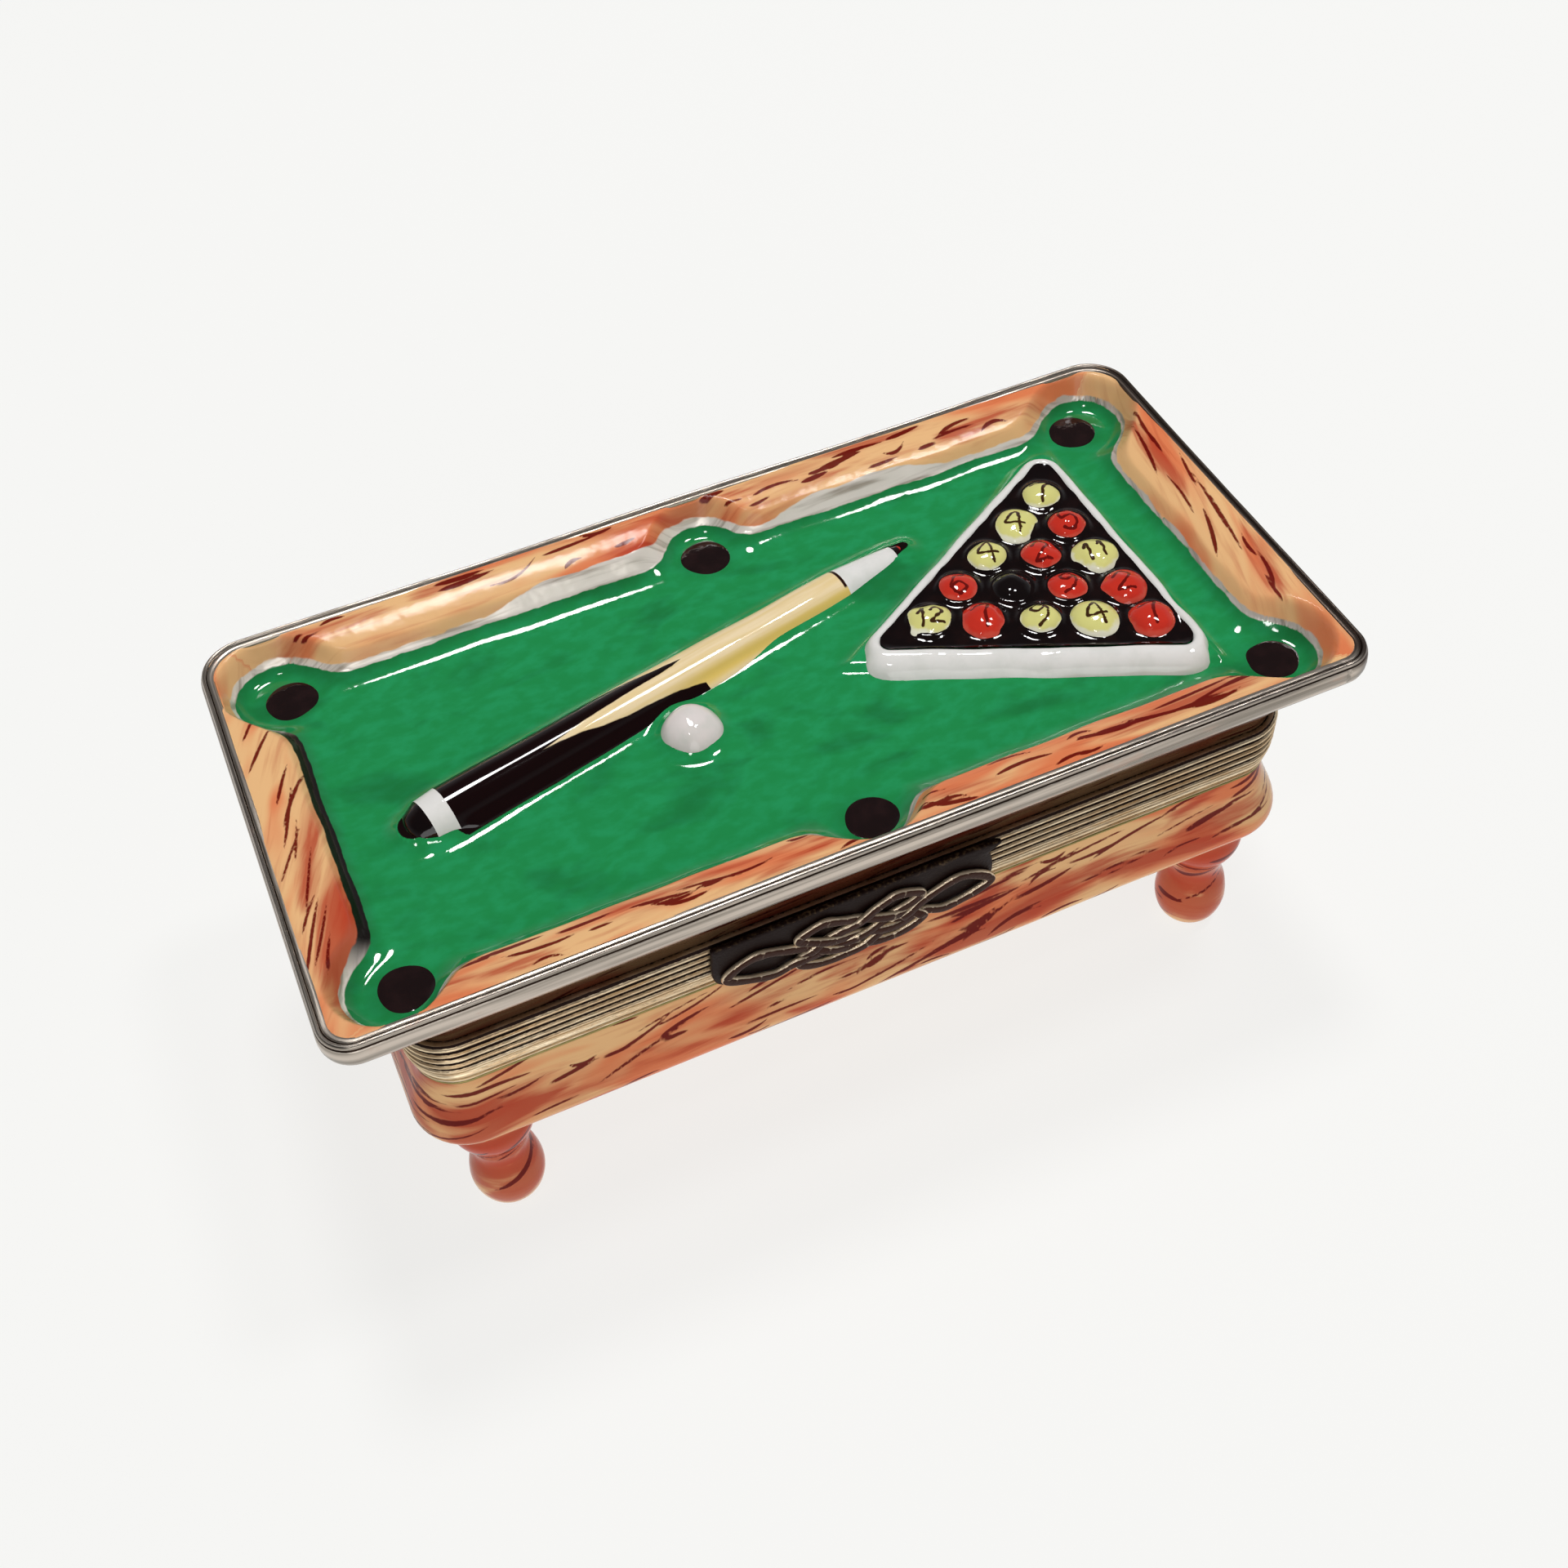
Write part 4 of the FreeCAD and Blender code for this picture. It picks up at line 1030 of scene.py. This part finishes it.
def make_feet(material):
    """Turned feet, from (radius, height) points up their side."""
    profile = smooth_path([(1.2, 0.0), (2.3, 0.25), (3.1, 1.2), (3.5, 3.1), (3.25, 5.2), (2.62, 7.3),
                           (2.85, 9.2), (3.75, 11.3), (4.0, 12.7), (3.75, 14.1),
                           (3.6, BODY_LOW[2] + 0.15)], 60)
    around = 64
    angles = np.linspace(0, 2 * math.pi, around, endpoint=False)
    circle = np.stack([np.cos(angles), np.sin(angles)], -1)
    for index, side in enumerate(("front_left", "front_right", "back_left", "back_right")):
        x, y = centre_mm("foot_" + side)[:2]
        rings, flat = [], []
        for radius, z in profile:
            mark = np.column_stack([circle, np.full(around, z / 4)])
            r = radius * (1 + 0.012 * wobble(mark, 2.5, 90 + index))
            rings.append(np.column_stack([x + r * circle[:, 0], y + r * circle[:, 1], np.full(around, z)]))
            flat.append(np.column_stack([angles * FOOT_AROUND / (2 * math.pi), np.full(around, z)]))
        points, faces = capped(rings)
        flat = np.concatenate(flat + [flat[0][:1], flat[-1][:1]])
        make_piece("foot_painted_" + side, points, faces, material, "base",
                   ("foot_" + side,), foot_marks(flat, 221 + 2 * index))


def make_lid_underside(wood, white):
    """Coved underside and neck of the lid, painted, and the glazed white hollow inside the neck."""
    nx, ny = MOUNT_X - 0.9, MOUNT_Y - 0.9
    outside = dense([
        (RIM_BOTTOM + 0.3, INNER_X + 0.1, INNER_Y + 0.1, 2.8),
        (RIM_BOTTOM - 0.4, INNER_X - 0.9, INNER_Y - 0.35, 3.1),
        (RIM_BOTTOM - 1.5, INNER_X - 2.6, INNER_Y - 1.0, 3.6), (UPPER_HIGH + 1.9, nx + 0.9, ny + 0.45, 3.9),
        (UPPER_HIGH + 0.6, nx + 0.05, ny + 0.05, 3.6), (UPPER_HIGH - 0.5, nx, ny, 3.6)], 5)
    mouth = [(LID_LOW, nx, ny, 3.6), (LID_LOW, nx - 3.0, ny - 3.0, 2.5)]
    top = FELT - 3.0
    hollow = dense([(top - 2.5, nx - 3.0, ny - 3.0, 2.5), (top - 1.0, nx - 3.1, ny - 3.1, 2.5),
                    (top - 0.3, nx - 3.5, ny - 3.5, 2.6), (top, nx - 4.4, ny - 4.4, 2.8)])
    rings, flat = shell(outside + mouth + hollow)
    points, faces = capped(rings, bottom=False)
    faces = [tuple(reversed(f)) for f in faces]
    flat = np.vstack([flat, flat[-1]])
    painted = (len(outside) - 1) * len(rings[0])
    which = (np.arange(len(faces)) >= painted).astype(int)
    make_piece("lid_underside", points, faces, (wood, white), "lid", ("lid_shell",),
               body_marks(flat, UPPER_HIGH - 0.5), which)


# ---- clasp -----------------------------------------------------------------
CLASP_X, CLASP_Z = -2.3, 26.4
CLASP_BACK = -MOUNT_Y - 0.02
HALF_KNOT = ((-12.5, 0.2), (-9.8, 1.9), (-6.0, 0.7), (-3.2, -1.0), (0.3, -2.4), (3.6, -2.7), (5.9, -1.6),
             (4.6, -0.3), (1.0, 0.9), (-2.0, 2.3), (-3.6, 2.8), (-5.7, 1.9), (-4.6, 0.9), (-1.0, -0.5),
             (3.0, -1.2), (6.0, -1.0), (8.5, -1.6))
PLATE_OUTLINE = ((-13.4, 4.1), (-13.5, 0.2), (-12.2, -1.3), (-9.0, -1.8), (-6.2, -1.7), (-4.0, -2.9),
                 (0.0, -2.6), (3.8, -2.9), (6.2, -1.9), (9.0, -1.8), (12.0, -1.2), (12.9, 0.6), (12.6, 3.0),
                 (11.6, 4.2))


def knot_path():
    right = [(-u, v) for u, v in HALF_KNOT]
    knots = list(HALF_KNOT) + [(12.5, -0.2)] + right[1:]
    count = 900
    path = smooth_path(knots[-2:] + knots + knots[:3], count)
    share = len(knots) + 4
    start = int(round(2 / share * (count - 1)))
    end = int(round((2 + len(knots)) / share * (count - 1)))
    return path[start:end]


def crossing_lift(path, reach):
    """Over and under heights along the rope, alternating at each place where it crosses itself."""
    count = len(path)
    gap = np.linalg.norm(path[:, None] - path[None], axis=-1)
    index = np.arange(count)
    apart = np.abs(index[:, None] - index[None])
    apart = np.minimum(apart, count - apart)
    gap[apart < count // 25] = 9
    crossings = []
    for i in index[gap.min(1) < 0.12]:
        j = int(gap[i].argmin())
        if all(min(abs(i - a), abs(i - b)) > 8 for a, b in crossings):
            crossings.append((int(i), j))
    visits = sorted(place for crossing in crossings for place in crossing)
    lift = np.zeros(count)
    for order, place in enumerate(visits):
        sign = 1 if order % 2 else -1
        away = np.minimum(np.abs(index - place), count - np.abs(index - place))
        lift += sign * np.exp(-(away / reach) ** 2)
    return np.clip(lift, -1, 1)


def make_rope(material):
    path = knot_path()
    lift = crossing_lift(path, 9.0)
    ahead = np.roll(path, -1, 0) - np.roll(path, 1, 0)
    ahead /= np.linalg.norm(ahead, axis=1, keepdims=True)
    side = np.stack([-ahead[:, 1], ahead[:, 0]], -1)
    length = arc_length(path)
    around = 14
    angles = np.linspace(0, 2 * math.pi, around, endpoint=False)
    points, ridge = [], []
    for k in range(len(path)):
        half_width = 0.5 + 0.03 * math.sin(length[k] * 2.1)
        across = half_width * np.cos(angles)
        deep = 0.34 * np.sin(angles) * (0.8 + 0.45 * np.abs(np.cos(angles)) ** 2)
        hatch = 0.5 + 0.5 * math.sin(length[k] * 2 * math.pi / 1.7 + 2.0 * math.sin(length[k] * 0.9))
        u = path[k, 0] + side[k, 0] * across
        v = path[k, 1] + side[k, 1] * across
        y = CLASP_BACK - 1.05 - 0.16 * lift[k] - deep
        points.append(np.column_stack([CLASP_X + u, y, CLASP_Z + v]))
        rim = np.clip((np.abs(np.cos(angles)) - 0.62) / 0.25, 0, 1)
        ridge.append(np.maximum(rim * 0.95, 0.5 * (hatch > 0.97)))
    faces = closed_loop(points)
    make_piece("clasp_rope_knot", np.concatenate(points), faces, material, "lid",
               ("clasp_rope",), {"ridge": np.concatenate(ridge)})


def make_clasp_plate(material):
    edge = smooth_path(list(PLATE_OUTLINE) + [PLATE_OUTLINE[0]], 200)[:-1]
    centre = edge.mean(0)
    rings = []
    for share, depth in ((0.985, 0.05), (1.0, 0.25), (1.0, 0.55), (0.985, 0.66), (0.95, 0.7), (0.6, 0.7),
                         (0.25, 0.7)):
        flat = centre + (edge - centre) * share
        y = CLASP_BACK - depth - 0.03 * wobble(flat, 3.0, 95) * (depth > 0.6)
        rings.append(np.column_stack([CLASP_X + flat[:, 0], y, CLASP_Z + flat[:, 1]]))
    points, faces = capped(rings)
    # Painted highlight: glints along the top edge of the backing plate.
    ridge = 0.5 * smooth_step(points[:, 2] - CLASP_Z, 3.7, 4.1)
    make_piece("clasp_backing", points, faces, material, "lid", ("clasp_plate",),
               {"ridge": ridge})


# ---- build -----------------------------------------------------------------
wood = painted_wood("painted_wood", 0.0)
# The neck under the rim is mixed almost to dark brown: its own dark red-brown paint and painted shade from
# the overhanging rim.
neck_wood_paint_and_shade = painted_wood("neck_wood_paint_and_shade", 0.91)
green = green_glaze()
white = glazed("white_glaze", srgb(228, 226, 222), srgb(221, 220, 215), bump=0.05)
black = glazed("black_enamel", srgb(14, 6, 6), srgb(24, 10, 9), bump=0.05)
pocket_black = glazed("pocket_enamel", srgb(26, 15, 15), srgb(34, 20, 20), bump=0.04)
brass = plain_brass()
ribs = brass_ribs()
balls = {
    "Y": ball_paint("yellow_enamel", srgb(216, 212, 132), srgb(226, 224, 200), srgb(60, 36, 14)),
    "R": ball_paint("red_enamel", srgb(200, 50, 36), srgb(206, 78, 62), srgb(104, 14, 10)),
    "K": ball_paint("ball_black_enamel", srgb(16, 9, 9), srgb(16, 9, 9), srgb(70, 62, 60)),
}

make_lid_top(green, rail_wood())
make_lid_underside(neck_wood_paint_and_shade, white)
make_band(platinum_band())
make_pocket_discs(pocket_black)
make_cue(black, cue_paint(), white, tip_paint())
make_cue_ball(glazed("cue_ball_glaze", srgb(222, 214, 210), srgb(214, 210, 204), bump=0.04))
make_rack(white, black)
make_balls(balls)
make_mount("upper_mount_ribbed", "upper_mount", "lid", ribs, UPPER_LOW, UPPER_HIGH,
           (0.0, 0.24, 0.48, 0.73, 1.0), 0.44, 0.0, 0.0, False, 101)
make_mount("lower_mount_ribbed", "lower_mount", "base", ribs, LOWER_LOW, LOWER_HIGH,
           (0.0, 0.19, 0.3, 0.66, 0.83, 1.0), 0.66, 0.6, 0.0, True, 111)
make_body(wood, white)
make_feet(wood)
make_rope(clasp_metal("rope_metal", 0.7, srgb(56, 32, 24), srgb(224, 204, 176)))
make_clasp_plate(clasp_metal("clasp_dark", 0.2, srgb(24, 9, 6), srgb(120, 96, 66)))
for node in ("base_knuckle_left", "base_knuckle_centre", "base_knuckle_right", "lid_knuckle_left",
             "lid_knuckle_right", "hinge_pin", "catch_stud", "clasp_tongue"):
    mesh = bpy.data.objects[node].data
    mesh.materials.clear()
    mesh.materials.append(brass)


# ---- studio ----------------------------------------------------------------
def make_floor():
    bpy.ops.mesh.primitive_plane_add(size=6)
    floor = bpy.context.object
    floor.name = "floor"
    paint = Paint("floor_paper", Roughness=0.9, Specular_IOR_Level=0.1, Emission_Strength=0.79)
    paint.set("Base Color", (0.14, 0.14, 0.137, 1.0))
    paint.set("Emission Color", (1.0, 1.0, 0.982, 1.0))
    floor.data.materials.append(paint.material)


def make_light(name, azimuth, elevation, distance, size, power, target=(0.0, 0.0, 0.036)):
    """Round area light; azimuth is measured from +Y towards +X."""
    a, e = math.radians(azimuth), math.radians(elevation)
    direction = Vector((math.sin(a) * math.cos(e), math.cos(a) * math.cos(e), math.sin(e)))
    lamp = bpy.data.lights.new(name, "AREA")
    lamp.shape = "DISK"
    lamp.size = size
    lamp.energy = power
    light = bpy.data.objects.new(name, lamp)
    light.location = Vector(target) + direction * distance
    light.rotation_euler = direction.to_track_quat("Z", "Y").to_euler()
    bpy.context.scene.collection.objects.link(light)


def make_world():
    """Soft surroundings: as pale as the floor at the horizon, dim overhead, so that the glaze stays deep."""
    world = bpy.data.worlds.new("studio")
    bpy.context.scene.world = world
    world.use_nodes = True
    tree = world.node_tree
    place = tree.nodes.new("ShaderNodeTexCoord")
    split = tree.nodes.new("ShaderNodeSeparateXYZ")
    ramp = tree.nodes.new("ShaderNodeValToRGB")
    tree.links.new(place.outputs["Generated"], split.inputs[0])
    tree.links.new(split.outputs["Z"], ramp.inputs[0])
    tree.links.new(ramp.outputs[0], tree.nodes["Background"].inputs[0])
    stops = ramp.color_ramp.elements
    stops[0].position, stops[0].color = 0.06, (0.55, 0.55, 0.54, 1)
    stops[1].position, stops[1].color = 0.6, (0.04, 0.04, 0.043, 1)
    stops.new(0.13).color = (0.2, 0.203, 0.21, 1)
    tree.nodes["Background"].inputs[1].default_value = 1.65


def make_camera():
    camera = bpy.data.objects.new("camera", bpy.data.cameras.new("camera"))
    camera.data.sensor_width = 36.0
    camera.data.lens = 42.69
    azimuth, elevation, roll = math.radians(-20.15), math.radians(50.0), math.radians(-4.65)
    target, distance = Vector((0.0059, 0.01599, 0.0)), 0.20517
    back = Vector((math.sin(azimuth) * math.cos(elevation), -math.cos(azimuth) * math.cos(elevation),
                   math.sin(elevation)))
    right = (-back).cross(Vector((0, 0, 1))).normalized()
    up = right.cross(-back)
    turned_right = right * math.cos(roll) + up * math.sin(roll)
    turned_up = up * math.cos(roll) - right * math.sin(roll)
    place = target + back * distance
    camera.matrix_world = Matrix([(*row, along) for *row, along in zip(turned_right, turned_up, back, place)]
                                 + [(0, 0, 0, 1)])
    camera.data.clip_start = 0.01
    bpy.context.scene.collection.objects.link(camera)
    bpy.context.scene.camera = camera


make_floor()
make_light("key", 17, 71, 0.9, 0.2, 4.0)
make_light("second", 90, 68, 0.9, 0.15, 2.3)
make_light("front_fill", -144, 64, 0.9, 0.10, 0.6)
make_light("front_soft", 195, 22, 1.0, 0.7, 2.5)
make_world()
make_camera()
bpy.context.scene.view_settings.view_transform = "Standard"
